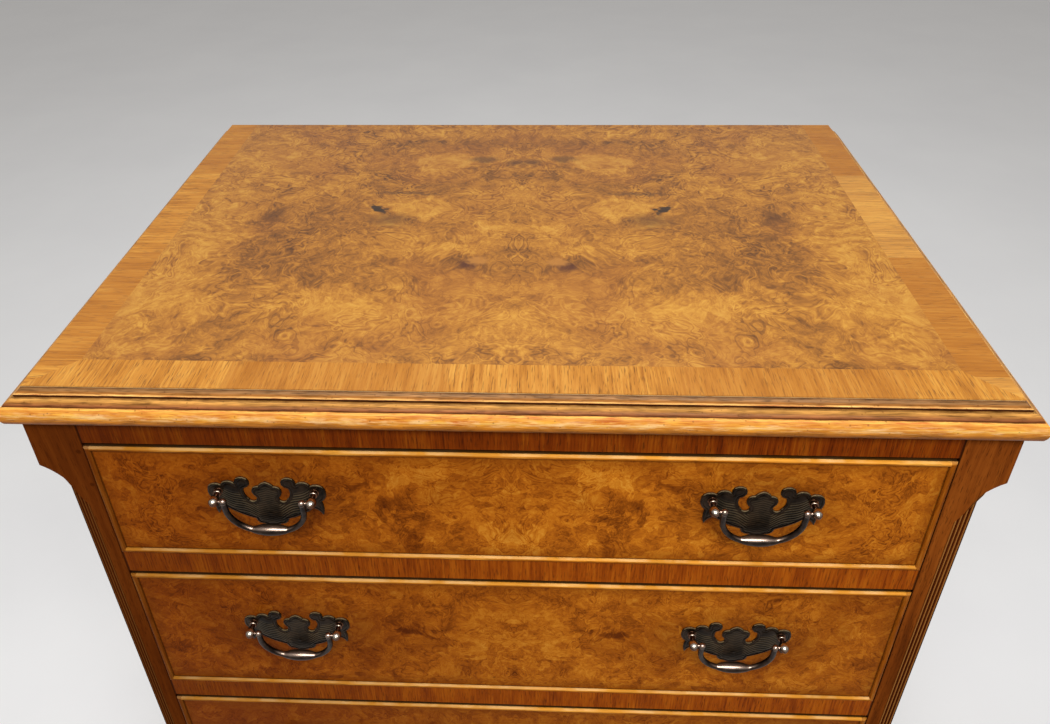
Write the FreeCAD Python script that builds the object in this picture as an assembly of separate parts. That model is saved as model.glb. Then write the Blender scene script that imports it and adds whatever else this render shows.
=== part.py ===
import FreeCAD, Part
import math
import os

# Bachelors chest: four graduated drawers between canted and fluted corner posts, a moulded
# and crossbanded top, and bracket feet. Lengths are millimetres. While it is put together the
# face of the posts is y = 0, the back is +y, the floor is z = 0 and x = 0 is the middle.

# Case
opening_width = 580.0
post_width = 35.7
post_depth = 45.0
case_depth = 446.0
side_thickness = 18.0
back_thickness = 6.0
back_rebate = 8.0
dust_board_thickness = 6.0

# Heights of the drawer openings, and the rails between them
top_drawer_opening = 108.0
second_drawer_opening = 137.0
third_drawer_opening = 150.0
bottom_drawer_opening = 163.0
rail_height = 22.0
rail_depth = 60.0
rail_tenon_length = 12.0
rail_tenon_thickness = 9.0
rail_tenon_margin = 8.0

# Canted corner of a post: its two legs, the lamb's-tongue stops and the flutes
cant_across = 25.0
cant_back = 21.0
cant_block_height = 43.5
cant_stop_height = 38.5
cant_foot_block_height = 30.0
flute_count = 3
flute_radius = 2.6
flute_depth = 1.7
flute_run_out = 3.0

# Top: the board, its edge moulding and the veneers laid on it
top_edge_inset = 5.0
top_flat_front = 5.3
top_thickness = 23.2
moulding_projection = 13.5
crossband_width = 28.0
veneer_thickness = 0.8

# Runners, guides, kickers and stops inside the case
runner_height = 16.0
runner_ledge = 28.0
guide_height = 20.0
stop_width = 40.0
stop_height = 5.0
stop_depth = 22.0
stop_place_share = 0.62

# Base: a moulded frame on bracket feet
foot_height = 72.0
base_moulding_height = 20.0
base_moulding_projection = 8.0
base_moulding_width = 42.0
bracket_length = 112.0
bracket_thickness = 18.0
foot_block_size = 30.0
foot_block_clearance = 3.0

# Drawer box
drawer_side_clearance = 0.8
drawer_head_clearance = 2.6
drawer_running_clearance = 0.3
drawer_back_gap = 28.0
drawer_front_thickness = 20.0
drawer_lap = 2.5
drawer_side_thickness = 10.0
drawer_back_thickness = 10.0
drawer_side_drop = 4.0
drawer_bottom_thickness = 5.0
drawer_bottom_lift = 9.0
drawer_groove_depth = 4.0
groove_clearance = 0.1
tail_pitch = 34.0
tail_tip_share = 0.72
tail_root_share = 0.50

# Cock bead round each drawer front
bead_width = 4.0
bead_proud = 2.2
bead_depth = 5.0

# Swan-neck handles: back plate, posts and bail
handle_place_share = 0.5862
handle_rise = 12.4
handle_post_spacing = 67.4
plate_half_width = 41.5
plate_height = 46.5
plate_post_share = 0.725
plate_thickness = 1.5
post_flange_radius = 3.4
post_flange_thickness = 0.6
post_neck_radius = 1.9
post_collar_radius = 2.9
post_collar_thickness = 2.2
post_collar_distance = 2.5
post_head_radius = 3.6
post_head_length = 8.6
post_head_distance = 11.3
post_shank_radius = 2.0
shank_clearance = 0.1
nut_radius = 4.0
nut_thickness = 3.2
shank_end = 2.0
bail_radius = 2.1
bail_knuckle_radius = 2.5
bail_pin_radius = 1.2
pin_clearance = 0.05
bail_head_clearance = 0.35
pin_reach = 1.4
bail_neck_length = 9.0
bail_arm_radius = 23.0
bail_arm_sweep = 62.0
bail_shoulder_radius = 12.0
grip_radius = 4.2
grip_half_length = 13.0
bail_hang_angle = 6.0

# Screws that hold the back
screw_shank_radius = 1.6
screw_head_radius = 3.4
screw_head_thickness = 1.2
screw_length = 24.0
screw_clearance = 0.05
screws_per_side = 5

# One overrun serves every cut that passes right through a face
overrun = 2.0

Vector = FreeCAD.Vector
X_AXIS = Vector(1, 0, 0)
Y_AXIS = Vector(0, 1, 0)
Z_AXIS = Vector(0, 0, 1)

opening_half = opening_width / 2
case_half = opening_half + post_width
top_flat_half_width = case_half - top_edge_inset
side_inner = case_half - side_thickness
case_bottom = foot_height + base_moulding_height
opening_heights = [top_drawer_opening, second_drawer_opening, third_drawer_opening, bottom_drawer_opening]
case_height = sum(opening_heights) + (len(opening_heights) + 1) * rail_height
case_top = case_bottom + case_height
board_top = case_top + top_thickness - veneer_thickness
back_inner = case_depth - back_thickness
drawer_length = case_depth - drawer_back_gap
handle_offset = opening_half * handle_place_share
foremost = post_head_distance + post_head_length / 2
middle_y = (case_depth - foremost) / 2


def box(x_range, y_range, z_range):
    """A box between two values along each axis."""
    size = [high - low for low, high in (x_range, y_range, z_range)]
    return Part.makeBox(size[0], size[1], size[2], Vector(x_range[0], y_range[0], z_range[0]))


def mirrored(solid):
    """The same solid on the other side of the chest."""
    return solid.mirror(Vector(0, 0, 0), X_AXIS)


def both_sides(solid):
    """A solid and its twin on the other side."""
    return [solid, mirrored(solid)]


def prism(points, direction):
    """A straight-edged face through the points, pushed along a direction."""
    return Part.Face(Part.makePolygon(points + points[:1])).extrude(direction)


def outline_face(start, steps):
    """A face bounded by lines (one point) and arcs (a point on the way and an end point)."""
    edges = []
    here = start
    for step in steps:
        if len(step) == 1:
            edges.append(Part.LineSegment(here, step[0]).toShape())
        else:
            edges.append(Part.Arc(here, step[0], step[1]).toShape())
        here = step[-1]
    edges.append(Part.LineSegment(here, start).toShape())
    return Part.Face(Part.Wire(edges))


def along_y(radius, y_range, x, z):
    """A round bar along y."""
    return Part.makeCylinder(radius, y_range[1] - y_range[0], Vector(x, y_range[0], z), Y_AXIS)


def export(node, solids):
    """Write one named piece, or group of like pieces, about the origin under the middle."""
    group = Part.makeCompound(solids)
    group.translate(Vector(0, -middle_y, 0))
    group.exportStep("parts/" + node + ".step")


# Levels from the floor up: each opening stands on its rail
def case_levels():
    rails = []
    openings = []
    level = case_bottom
    for height in reversed(opening_heights):
        rails.append((level, level + rail_height))
        openings.insert(0, (level + rail_height, level + rail_height + height))
        level += rail_height + height
    return rails, openings, (level, level + rail_height)


rail_levels, opening_levels, top_rail_level = case_levels()


# Rails between the posts, with a stub tenon at each end
def rail(z_range):
    body = box((-opening_half, opening_half), (0, rail_depth), z_range)
    for tenon in rail_tenons(z_range):
        body = body.fuse(tenon)
    return body.removeSplitter()


def rail_tenons(z_range):
    z_middle = sum(z_range) / 2
    z_tenon = (z_middle - rail_tenon_thickness / 2, z_middle + rail_tenon_thickness / 2)
    y_tenon = (rail_tenon_margin, post_depth - rail_tenon_margin)
    return both_sides(box((opening_half, opening_half + rail_tenon_length), y_tenon, z_tenon))


# A corner post: square at the ends, canted and fluted between two lamb's-tongue stops.
# Shares run across the cant from the corner inwards, and down the stop from the block.
stop_shares = [
    [(0.30, 0.135), (0.54, 0.30)],
    [(0.66, 0.47), (0.75, 0.645)],
    [(0.86, 0.835), (1.00, 1.00)],
]


def stop_steps(z_block, down):
    """Arcs of one stop on the face of the post, from the corner of its square block."""
    def place(shares):
        return Vector(case_half - shares[0] * cant_across, 0, z_block + down * shares[1] * cant_stop_height)
    return [[place(on_the_way), place(end)] for on_the_way, end in stop_shares]


def cant_cut():
    """Everything outside the cant and its stops, as one prism that runs past both ends of the cant."""
    z_high = case_top - cant_block_height
    z_low = case_bottom + cant_foot_block_height
    upper = stop_steps(z_high, -1)
    lower = stop_steps(z_low, 1)
    lower_corner = Vector(case_half, 0, z_low)
    steps = upper + [[lower[-1][1]]]
    ends = [lower[1][1], lower[0][1], lower_corner]
    steps += [[arc[0], end] for arc, end in zip(reversed(lower), ends)]
    clear_of_case = case_half + cant_across
    steps += [[Vector(clear_of_case, 0, z_low)], [Vector(clear_of_case, 0, z_high)]]
    face = outline_face(Vector(case_half, 0, z_high), steps)
    sweep = Vector(cant_across, cant_back, 0)
    face.translate(sweep * -1)
    return face.extrude(sweep * 3)


def flutes():
    """Round grooves down the canted face, which run out at the feet of the stops."""
    cant_width = math.hypot(cant_across, cant_back)
    along = Vector(cant_across, cant_back, 0) * (1 / cant_width)
    outward = Vector(cant_back, -cant_across, 0) * (1 / cant_width)
    arris = Vector(case_half - cant_across, 0, 0)
    z_low = case_bottom + cant_foot_block_height + cant_stop_height - flute_run_out
    z_high = case_top - cant_block_height - cant_stop_height + flute_run_out
    tools = []
    for number in range(flute_count):
        centre = arris + along * (cant_width * (number + 1) / (flute_count + 1))
        centre = centre + outward * (flute_radius - flute_depth)
        centre.z = z_low
        tools.append(Part.makeCylinder(flute_radius, z_high - z_low, centre, Z_AXIS))
    return tools


def corner_post():
    body = box((opening_half, case_half), (0, post_depth), (case_bottom, case_top))
    mortises = [tenon for z_range in rail_levels + [top_rail_level] for tenon in rail_tenons(z_range)[:1]]
    return body.cut([cant_cut()] + flutes() + mortises)


def screw_places():
    """Where the screws of the back go: x, z and the side they hold to."""
    z_step = case_height / screws_per_side
    x_screw = case_half - side_thickness + back_rebate / 2
    return [(x_screw, case_bottom + z_step * (number + 0.5)) for number in range(screws_per_side)]


def back_screw(x, z, clearance):
    """A screw with its head flush in the back, or with a clearance the hole that takes it."""
    shank = along_y(screw_shank_radius + clearance, (case_depth - screw_length, case_depth), x, z)
    head = along_y(screw_head_radius + clearance, (case_depth - screw_head_thickness, case_depth), x, z)
    return shank.fuse(head).removeSplitter()


def side_panel():
    body = box((side_inner, case_half), (post_depth, case_depth), (case_bottom, case_top))
    rebate = box((side_inner - overrun, side_inner + back_rebate), (back_inner, case_depth + overrun),
                 (case_bottom - overrun, case_top + overrun))
    holes = [back_screw(x, z, screw_clearance) for x, z in screw_places()]
    return body.cut([rebate] + holes)


def back_panel():
    x_edge = side_inner + back_rebate
    body = box((-x_edge, x_edge), (back_inner, case_depth), (case_bottom, case_top))
    holes = [back_screw(x, z, screw_clearance) for x, z in screw_places()]
    return body.cut(holes + [mirrored(hole) for hole in holes])


def dust_board():
    return box((-side_inner, side_inner), (rail_depth, back_inner),
               (case_bottom, case_bottom + dust_board_thickness))


# Bearers inside the case, a pair for each drawer
runner_inner = opening_half - runner_ledge


def runners():
    solids = []
    for _, z_high in rail_levels:
        z_range = (z_high - runner_height, z_high)
        behind_rail = box((runner_inner, side_inner), (rail_depth, back_inner), z_range)
        solids += both_sides(behind_rail)
    return solids


def guides():
    solids = []
    for _, z_high in rail_levels:
        z_range = (z_high, z_high + guide_height)
        solids += both_sides(box((opening_half, side_inner), (post_depth, back_inner), z_range))
    return solids


def kickers():
    z_range = (case_top - runner_height, case_top)
    return both_sides(box((runner_inner, side_inner), (rail_depth, back_inner), z_range))


def drawer_stops():
    x_middle = opening_half * stop_place_share
    x_range = (x_middle - stop_width / 2, x_middle + stop_width / 2)
    y_front = drawer_front_thickness + drawer_running_clearance
    solids = []
    for _, z_high in rail_levels:
        solids += both_sides(box(x_range, (y_front, y_front + stop_depth), (z_high, z_high + stop_height)))
    return solids


# Mitred frames: plan shapes of the front strip and of the right-hand strip
def front_strip_plan(x_inner, y_inner, width, z_range):
    points = [
        Vector(-x_inner, y_inner, z_range[0]),
        Vector(-x_inner - width, y_inner - width, z_range[0]),
        Vector(x_inner + width, y_inner - width, z_range[0]),
        Vector(x_inner, y_inner, z_range[0]),
    ]
    return prism(points, Vector(0, 0, z_range[1] - z_range[0]))


def side_strip_plan(x_inner, y_inner, width, z_range):
    points = [
        Vector(x_inner, y_inner, z_range[0]),
        Vector(x_inner + width, y_inner - width, z_range[0]),
        Vector(x_inner + width, case_depth, z_range[0]),
        Vector(x_inner, case_depth, z_range[0]),
    ]
    return prism(points, Vector(0, 0, z_range[1] - z_range[0]))


def moulded_strips(profile_at, x_inner, y_inner, width, z_range):
    """Front and side strips of one moulding, with the profile run along each and mitred."""
    x_end = x_inner + width
    front = profile_at(Vector(-x_end, y_inner, 0), Y_AXIS * -1).extrude(X_AXIS * (2 * x_end))
    y_start = y_inner - width
    side = profile_at(Vector(x_inner, y_start, 0), X_AXIS).extrude(Y_AXIS * (case_depth - y_start))
    front = front.common(front_strip_plan(x_inner, y_inner, width, z_range))
    side = side.common(side_strip_plan(x_inner, y_inner, width, z_range))
    return [front] + both_sides(side)


# Edge moulding of the top. Shares run out from the board and down from the show face:
# a fillet, a hollow, a quirk, an ovolo, a ledge and a thumb-shaped nose.
top_moulding_start_shares = (0.0, 0.045)
top_moulding_shares = [
    [(0.13, 0.135), (0.31, 0.195)],
    [(0.31, 0.28)],
    [(0.61, 0.33), (0.755, 0.44)],
    [(0.79, 0.44)],
    [(0.935, 0.52), (1.00, 0.65)],
    [(0.98, 0.84), (0.875, 1.00)],
    [(0.0, 1.00)],
]


def top_moulding_profile(corner, outward):
    def place(shares):
        height = board_top + veneer_thickness - shares[1] * top_thickness
        return corner + outward * (shares[0] * moulding_projection) + Z_AXIS * height
    steps = [[place(shares) for shares in step] for step in top_moulding_shares]
    return outline_face(place(top_moulding_start_shares), steps)


def top_moulding():
    z_range = (case_top, board_top + veneer_thickness)
    return moulded_strips(top_moulding_profile, top_flat_half_width, top_flat_front,
                          moulding_projection, z_range)


def top_board():
    x_range = (-top_flat_half_width, top_flat_half_width)
    return box(x_range, (top_flat_front, case_depth), (case_top, board_top))


def top_crossbanding():
    """Banding laid across the grain on the front and two sides, mitred at the front corners."""
    z_range = (board_top, board_top + veneer_thickness)
    x_inner = top_flat_half_width - crossband_width
    y_inner = top_flat_front + crossband_width
    side = side_strip_plan(x_inner, y_inner, crossband_width, z_range)
    return [front_strip_plan(x_inner, y_inner, crossband_width, z_range)] + both_sides(side)


def top_burr_leaves():
    """Two matched leaves, which meet on the middle line of the field."""
    x_edge = top_flat_half_width - crossband_width
    y_front = top_flat_front + crossband_width
    z_range = (board_top, board_top + veneer_thickness)
    return both_sides(box((0, x_edge), (y_front, case_depth), z_range))


# Base frame: shares run out from its inner edge and up from the feet: a square edge below
# an ovolo that carries the case.
base_moulding_start_shares = (0.0, 0.0)
base_moulding_shares = [
    [(1.0, 0.0)],
    [(1.0, 0.42)],
    [(0.95, 0.42)],
    [(0.90, 0.80), (0.78, 1.0)],
    [(0.0, 1.0)],
]


def base_moulding_profile(corner, outward):
    def place(shares):
        height = foot_height + shares[1] * base_moulding_height
        return corner + outward * (shares[0] * base_moulding_width) + Z_AXIS * height
    steps = [[place(shares) for shares in step] for step in base_moulding_shares]
    return outline_face(place(base_moulding_start_shares), steps)


base_outer_x = case_half + base_moulding_projection
base_inner_x = base_outer_x - base_moulding_width
base_inner_y = base_moulding_width - base_moulding_projection


def base_frame():
    """Three moulded strips and a plain rail across the back."""
    z_range = (foot_height, case_bottom)
    strips = moulded_strips(base_moulding_profile, base_inner_x, base_inner_y, base_moulding_width, z_range)
    back_rail = box((-base_inner_x, base_inner_x), (case_depth - base_moulding_width, case_depth), z_range)
    return strips + [back_rail]


# Bracket feet. Shares run along the bracket from its corner and down from the base frame.
foot_shares = [
    [(1.0, 0.20)],
    [(0.90, 0.30), (0.78, 0.32)],
    [(0.62, 0.37), (0.56, 0.55)],
    [(0.51, 0.80), (0.40, 1.0)],
    [(0.0, 1.0)],
]


def bracket(corner, along, thickness_direction):
    """One shaped bracket that runs from a corner of the base."""
    def place(shares):
        height = foot_height * (1 - shares[1])
        return corner + along * (shares[0] * bracket_length) + Z_AXIS * height
    steps = [[place((1.0, 0.0))]] + [[place(shares) for shares in step] for step in foot_shares]
    return outline_face(place((0.0, 0.0)), steps).extrude(thickness_direction * bracket_thickness)


def bracket_feet():
    """Front brackets mitred to the side brackets, and back brackets set between the sides."""
    y_front = -base_moulding_projection
    front_corner = Vector(base_outer_x, y_front, 0)
    mitre_reach = bracket_thickness * 2
    mitre = prism([front_corner, front_corner + Vector(-mitre_reach, mitre_reach, 0),
                   front_corner + Vector(-mitre_reach * 2, 0, 0)], Z_AXIS * foot_height)
    front = bracket(front_corner, X_AXIS * -1, Y_AXIS)
    side_front = bracket(front_corner, Y_AXIS, X_AXIS * -1)
    corner_square = box((base_outer_x - bracket_thickness, base_outer_x),
                        (y_front, y_front + bracket_thickness), (0, foot_height))
    front = front.cut(corner_square.cut(mitre))
    side_front = side_front.cut(corner_square.common(mitre))
    side_back = bracket(Vector(base_outer_x, case_depth, 0), Y_AXIS * -1, X_AXIS * -1)
    back = bracket(Vector(base_outer_x - bracket_thickness, case_depth, 0), X_AXIS * -1, Y_AXIS * -1)
    solids = []
    for piece in (front, side_front, side_back, back):
        solids += both_sides(piece)
    return solids


def foot_blocks():
    """Square blocks glued into the corner of each foot, clear of the floor."""
    x_outer = base_outer_x - bracket_thickness
    x_range = (x_outer - foot_block_size, x_outer)
    z_range = (foot_block_clearance, foot_height)
    y_front = bracket_thickness - base_moulding_projection
    y_back = case_depth - bracket_thickness
    front = box(x_range, (y_front, y_front + foot_block_size), z_range)
    back = box(x_range, (y_back - foot_block_size, y_back), z_range)
    return both_sides(front) + both_sides(back)


def back_screws():
    solids = []
    for x, z in screw_places():
        solids += both_sides(back_screw(x, z, 0))
    return solids


# A drawer box: lapped dovetails at the front, through dovetails at the back
drawer_half = opening_half - drawer_side_clearance
drawer_inner_half = drawer_half - drawer_side_thickness


def dovetails(y_root, y_tip, z_range):
    """Tails on the front or back end of the right-hand drawer side, wider at their tips."""
    span = z_range[1] - z_range[0]
    count = max(1, round(span / tail_pitch))
    pitch = span / count
    tails = []
    for number in range(count):
        z_middle = z_range[0] + pitch * (number + 0.5)
        half_root = pitch * tail_root_share / 2
        half_tip = pitch * tail_tip_share / 2
        points = [
            Vector(drawer_inner_half, y_root, z_middle - half_root),
            Vector(drawer_inner_half, y_tip, z_middle - half_tip),
            Vector(drawer_inner_half, y_tip, z_middle + half_tip),
            Vector(drawer_inner_half, y_root, z_middle + half_root),
        ]
        tails.append(prism(points, X_AXIS * drawer_side_thickness))
    return tails


def bead_strips(x_edge, z_range):
    """Four rounded strips let in round the edge of a drawer front, mitred at the corners."""
    nose_radius = bead_width / 2
    y_nose = -bead_proud + nose_radius

    def profile(corner, inward):
        crown = corner + inward * nose_radius + Y_AXIS * -bead_proud
        steps = [
            [corner + Y_AXIS * y_nose],
            [crown, corner + inward * bead_width + Y_AXIS * y_nose],
            [corner + inward * bead_width + Y_AXIS * bead_depth],
        ]
        return outline_face(corner + Y_AXIS * bead_depth, steps)

    def wedge(outer_ends, inner_ends):
        points = [Vector(x, -bead_proud - overrun, z) for x, z in outer_ends + inner_ends]
        return prism(points, Y_AXIS * (bead_depth + bead_proud + 2 * overrun))

    z_low, z_high = z_range
    x_in = x_edge - bead_width
    z_low_in = z_low + bead_width
    z_high_in = z_high - bead_width
    head = profile(Vector(-x_edge, 0, z_high), Z_AXIS * -1).extrude(X_AXIS * (2 * x_edge))
    sill = profile(Vector(-x_edge, 0, z_low), Z_AXIS).extrude(X_AXIS * (2 * x_edge))
    upright = profile(Vector(x_edge, 0, z_low), X_AXIS * -1).extrude(Z_AXIS * (z_high - z_low))
    head_wedge = wedge([(-x_edge, z_high), (x_edge, z_high)], [(x_in, z_high_in), (-x_in, z_high_in)])
    sill_wedge = wedge([(-x_edge, z_low), (x_edge, z_low)], [(x_in, z_low_in), (-x_in, z_low_in)])
    upright_wedge = wedge([(x_edge, z_low), (x_edge, z_high)], [(x_in, z_high_in), (x_in, z_low_in)])
    return [head.common(head_wedge), sill.common(sill_wedge)] + both_sides(upright.common(upright_wedge))


# Back plate of a handle, in the outline of a spread bat's wing. Shares of the half width run out
# from the middle, and shares of the height run up from the bottom tip.
plate_start_shares = (0.0, 0.91)
plate_shares = [
    [(0.085, 0.845), (0.18, 0.805)],
    [(0.235, 0.775), (0.255, 0.715)],
    [(0.24, 0.66), (0.20, 0.61)],
    [(0.25, 0.515), (0.325, 0.56)],
    [(0.385, 0.66), (0.375, 0.785)],
    [(0.32, 0.99), (0.51, 0.865)],
    [(0.61, 0.925), (0.755, 0.845)],
    [(0.90, 0.865), (0.995, 0.735)],
    [(0.985, 0.62), (0.905, 0.53)],
    [(0.93, 0.38), (0.90, 0.235)],
    [(0.84, 0.33), (0.75, 0.385)],
    [(0.52, 0.235), (0.28, 0.14)],
    [(0.24, 0.06), (0.14, 0.03)],
    [(0.07, 0.0), (0.0, 0.0)],
]


def back_plate(x_middle, z_posts):
    """A flat plate pierced for its two posts."""
    z_bottom = z_posts - plate_post_share * plate_height

    def place(shares):
        return Vector(shares[0] * plate_half_width, -plate_thickness, z_bottom + shares[1] * plate_height)

    steps = [[place(shares) for shares in step] for step in plate_shares]
    half = outline_face(place(plate_start_shares), steps).extrude(Y_AXIS * plate_thickness)
    plate = half.fuse(mirrored(half)).removeSplitter()
    plate.translate(Vector(x_middle, 0, 0))
    y_range = (-plate_thickness - overrun, overrun)
    return plate.cut([along_y(post_shank_radius + shank_clearance, y_range, x, z_posts)
                      for x in post_places(x_middle)])


def post_places(x_middle):
    return [x_middle - handle_post_spacing / 2, x_middle + handle_post_spacing / 2]


def handle_post(x_middle, side, z_posts):
    """A turned post with its shank, bored on its inner side for the bail."""
    x = x_middle + side * handle_post_spacing / 2
    y_end = drawer_front_thickness + nut_thickness + shank_end
    y_flange = -plate_thickness - post_flange_thickness
    y_collar = -post_collar_distance
    y_collar_front = y_collar - post_collar_thickness
    y_head_back = -post_head_distance + post_head_length / 2
    y_head_front = -post_head_distance - post_head_length / 2

    def place(radius, y):
        return Vector(x, y, z_posts - radius)

    steps = [
        [place(post_shank_radius, y_end)],
        [place(post_shank_radius, -plate_thickness)],
        [place(post_flange_radius, -plate_thickness)],
        [place(post_flange_radius, y_flange)],
        [place(post_neck_radius, y_flange)],
        [place(post_neck_radius, y_collar)],
        [place(post_collar_radius, y_collar)],
        [place(post_collar_radius, y_collar_front)],
        [place(post_neck_radius, y_collar_front)],
        [place(post_neck_radius, y_head_back)],
        [place(post_head_radius, -post_head_distance), place(0, y_head_front)],
    ]
    axis_point = place(0, y_end)
    post = outline_face(axis_point, steps).revolve(axis_point, Y_AXIS, 360)
    bore_length = post_head_radius + pin_reach + bail_head_clearance
    bore_start = Vector(x - side * (post_head_radius + bail_head_clearance), -post_head_distance, z_posts)
    bore = Part.makeCylinder(bail_pin_radius + pin_clearance, bore_length, bore_start, X_AXIS * side)
    return post.cut(bore)


def nut(x, z):
    """A six-sided nut against the inside of the drawer front."""
    corners = [Vector(x + nut_radius * math.cos(math.pi * number / 3), drawer_front_thickness,
                      z + nut_radius * math.sin(math.pi * number / 3)) for number in range(6)]
    body = prism(corners, Y_AXIS * nut_thickness)
    y_range = (drawer_front_thickness - overrun, drawer_front_thickness + nut_thickness + overrun)
    return body.cut(along_y(post_shank_radius + shank_clearance, y_range, x, z))


def bail(x_middle, z_posts):
    """A swan-neck bail, swollen at the grip, that hangs between its two posts and leans to the drawer."""
    x_knuckle = handle_post_spacing / 2 - post_head_radius - bail_head_clearance - bail_knuckle_radius
    sweep = math.radians(bail_arm_sweep)
    turn = math.pi / 2 - sweep
    arm_centre_x = x_knuckle - bail_arm_radius

    def arm_point(angle):
        return (arm_centre_x + bail_arm_radius * math.cos(angle),
                -bail_neck_length - bail_arm_radius * math.sin(angle))

    x_arm, z_arm = arm_point(sweep)
    x_grip = x_arm - bail_shoulder_radius * math.sin(turn)
    z_grip = z_arm - bail_shoulder_radius * (1 - math.cos(turn))
    shoulder_way = (x_grip + bail_shoulder_radius * math.sin(turn / 2),
                    z_grip + bail_shoulder_radius * (1 - math.cos(turn / 2)))

    def place(point, side):
        return Vector(x_middle + side * point[0], -post_head_distance, z_posts + point[1])

    def half_path(side):
        top = place((x_knuckle, 0), side)
        neck = place((x_knuckle, -bail_neck_length), side)
        arm = place((x_arm, z_arm), side)
        grip = place((x_grip, z_grip), side)
        return [
            Part.LineSegment(top, neck).toShape(),
            Part.Arc(neck, place(arm_point(sweep / 2), side), arm).toShape(),
            Part.Arc(arm, place(shoulder_way, side), grip).toShape(),
        ]

    right = half_path(1)
    left = half_path(-1)
    grip_line = Part.LineSegment(place((x_grip, z_grip), 1), place((x_grip, z_grip), -1)).toShape()
    path = Part.Wire(Part.__sortEdges__(right + [grip_line] + left))
    start = place((x_knuckle, 0), 1)
    section = Part.Wire(Part.makeCircle(bail_radius, start, Z_AXIS))
    solid = path.makePipeShell([section], True, False)

    grip_steps = [
        [place((-grip_half_length, z_grip + bail_radius), 1)],
        [place((0, z_grip + grip_radius), 1), place((grip_half_length, z_grip + bail_radius), 1)],
        [place((grip_half_length, z_grip), 1)],
    ]
    grip = outline_face(place((-grip_half_length, z_grip), 1), grip_steps)
    pieces = [grip.revolve(place((0, z_grip), 1), X_AXIS, 360)]
    x_pin_end = handle_post_spacing / 2 + pin_reach - bail_head_clearance
    for side in (1, -1):
        knuckle = place((x_knuckle, 0), side)
        pieces.append(Part.makeSphere(bail_knuckle_radius, knuckle))
        pieces.append(Part.makeCylinder(bail_pin_radius, x_pin_end - x_knuckle, knuckle, X_AXIS * side))
    hung = solid.fuse(pieces).removeSplitter()
    hung.rotate(place((0, 0), 1), X_AXIS, bail_hang_angle)
    return hung


def drawer(opening):
    """Every piece of one drawer, by the last part of its name."""
    z_low = opening[0] + drawer_running_clearance
    z_high = opening[1] - drawer_head_clearance
    z_side_top = z_high - drawer_side_drop
    z_bottom = z_low + drawer_bottom_lift
    z_bottom_top = z_bottom + drawer_bottom_thickness
    z_posts = (opening[0] + opening[1]) / 2 + handle_rise
    x_in = drawer_half - bead_width
    z_in = (z_low + bead_width, z_high - bead_width)

    y_socket = bead_depth + drawer_lap
    front_tails = dovetails(drawer_front_thickness, y_socket, (z_low, z_side_top))
    y_back = drawer_length - drawer_back_thickness
    back_tails = dovetails(y_back, drawer_length, (z_bottom_top, z_side_top))

    bottom_edge = drawer_inner_half + drawer_groove_depth - groove_clearance
    bottom_front = drawer_front_thickness - drawer_groove_depth + groove_clearance
    bottom = box((-bottom_edge, bottom_edge), (bottom_front, drawer_length), (z_bottom, z_bottom_top))
    groove = box((-bottom_edge - groove_clearance, bottom_edge + groove_clearance),
                 (bottom_front - groove_clearance, drawer_length + overrun), (z_bottom, z_bottom_top))

    side = box((drawer_inner_half, drawer_half), (drawer_front_thickness, y_back), (z_low, z_side_top))
    under_back = box((drawer_inner_half, drawer_half), (y_back, drawer_length), (z_low, z_bottom_top))
    side = side.fuse([under_back] + front_tails + back_tails).removeSplitter().cut(groove)

    bolt_holes = []
    posts = []
    plates = []
    bails = {}
    for name, x_middle in (("right", handle_offset), ("left", -handle_offset)):
        plates.append(back_plate(x_middle, z_posts))
        bails["bail_" + name] = [bail(x_middle, z_posts)]
        for hand in (1, -1):
            posts.append(handle_post(x_middle, hand, z_posts))
        for x in post_places(x_middle):
            posts.append(nut(x, z_posts))
            y_hole = (-overrun, drawer_front_thickness + overrun)
            bolt_holes.append(along_y(post_shank_radius + shank_clearance, y_hole, x, z_posts))

    core = box((-drawer_half, drawer_half), (veneer_thickness, drawer_front_thickness), (z_low, z_high))
    core_behind_bead = box((-drawer_half, drawer_half), (bead_depth, drawer_front_thickness), (z_low, z_high))
    core_inside_bead = box((-x_in, x_in), (veneer_thickness, drawer_front_thickness), z_in)
    core = core.common(core_behind_bead.fuse(core_inside_bead))
    sockets = front_tails + [mirrored(tail) for tail in front_tails]
    front = core.cut(sockets + [groove] + bolt_holes)

    back = box((-drawer_half, drawer_half), (y_back, drawer_length), (z_bottom_top, z_side_top))
    back = back.cut(back_tails + [mirrored(tail) for tail in back_tails])
    veneer = box((-x_in, x_in), (0, veneer_thickness), z_in).cut(bolt_holes)

    pieces = {
        "front": [front],
        "burr_veneer": [veneer],
        "cock_bead": bead_strips(drawer_half, (z_low, z_high)),
        "sides": both_sides(side),
        "back": [back],
        "bottom": [bottom],
        "back_plates": plates,
        "handle_posts": posts,
    }
    pieces.update(bails)
    return pieces


os.makedirs("parts", exist_ok=True)

post = corner_post()
panel = side_panel()
case_pieces = {
    "top_board": [top_board()],
    "top_burr_veneer": top_burr_leaves(),
    "top_crossbanding": top_crossbanding(),
    "top_moulding": top_moulding(),
    "side_panel_right": [panel],
    "side_panel_left": [mirrored(panel)],
    "corner_post_right": [post],
    "corner_post_left": [mirrored(post)],
    "top_rail": [rail(top_rail_level)],
    "drawer_rails": [rail(z_range) for z_range in rail_levels],
    "back_panel": [back_panel()],
    "back_screws": back_screws(),
    "dust_board": [dust_board()],
    "drawer_runners": runners(),
    "drawer_guides": guides(),
    "drawer_stops": drawer_stops(),
    "top_kickers": kickers(),
    "base_frame": base_frame(),
    "bracket_feet": bracket_feet(),
    "foot_blocks": foot_blocks(),
}
for node, solids in case_pieces.items():
    export(node, solids)

for number, opening in enumerate(opening_levels, start=1):
    for name, solids in drawer(opening).items():
        export("drawer_%d_%s" % (number, name), solids)
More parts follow.
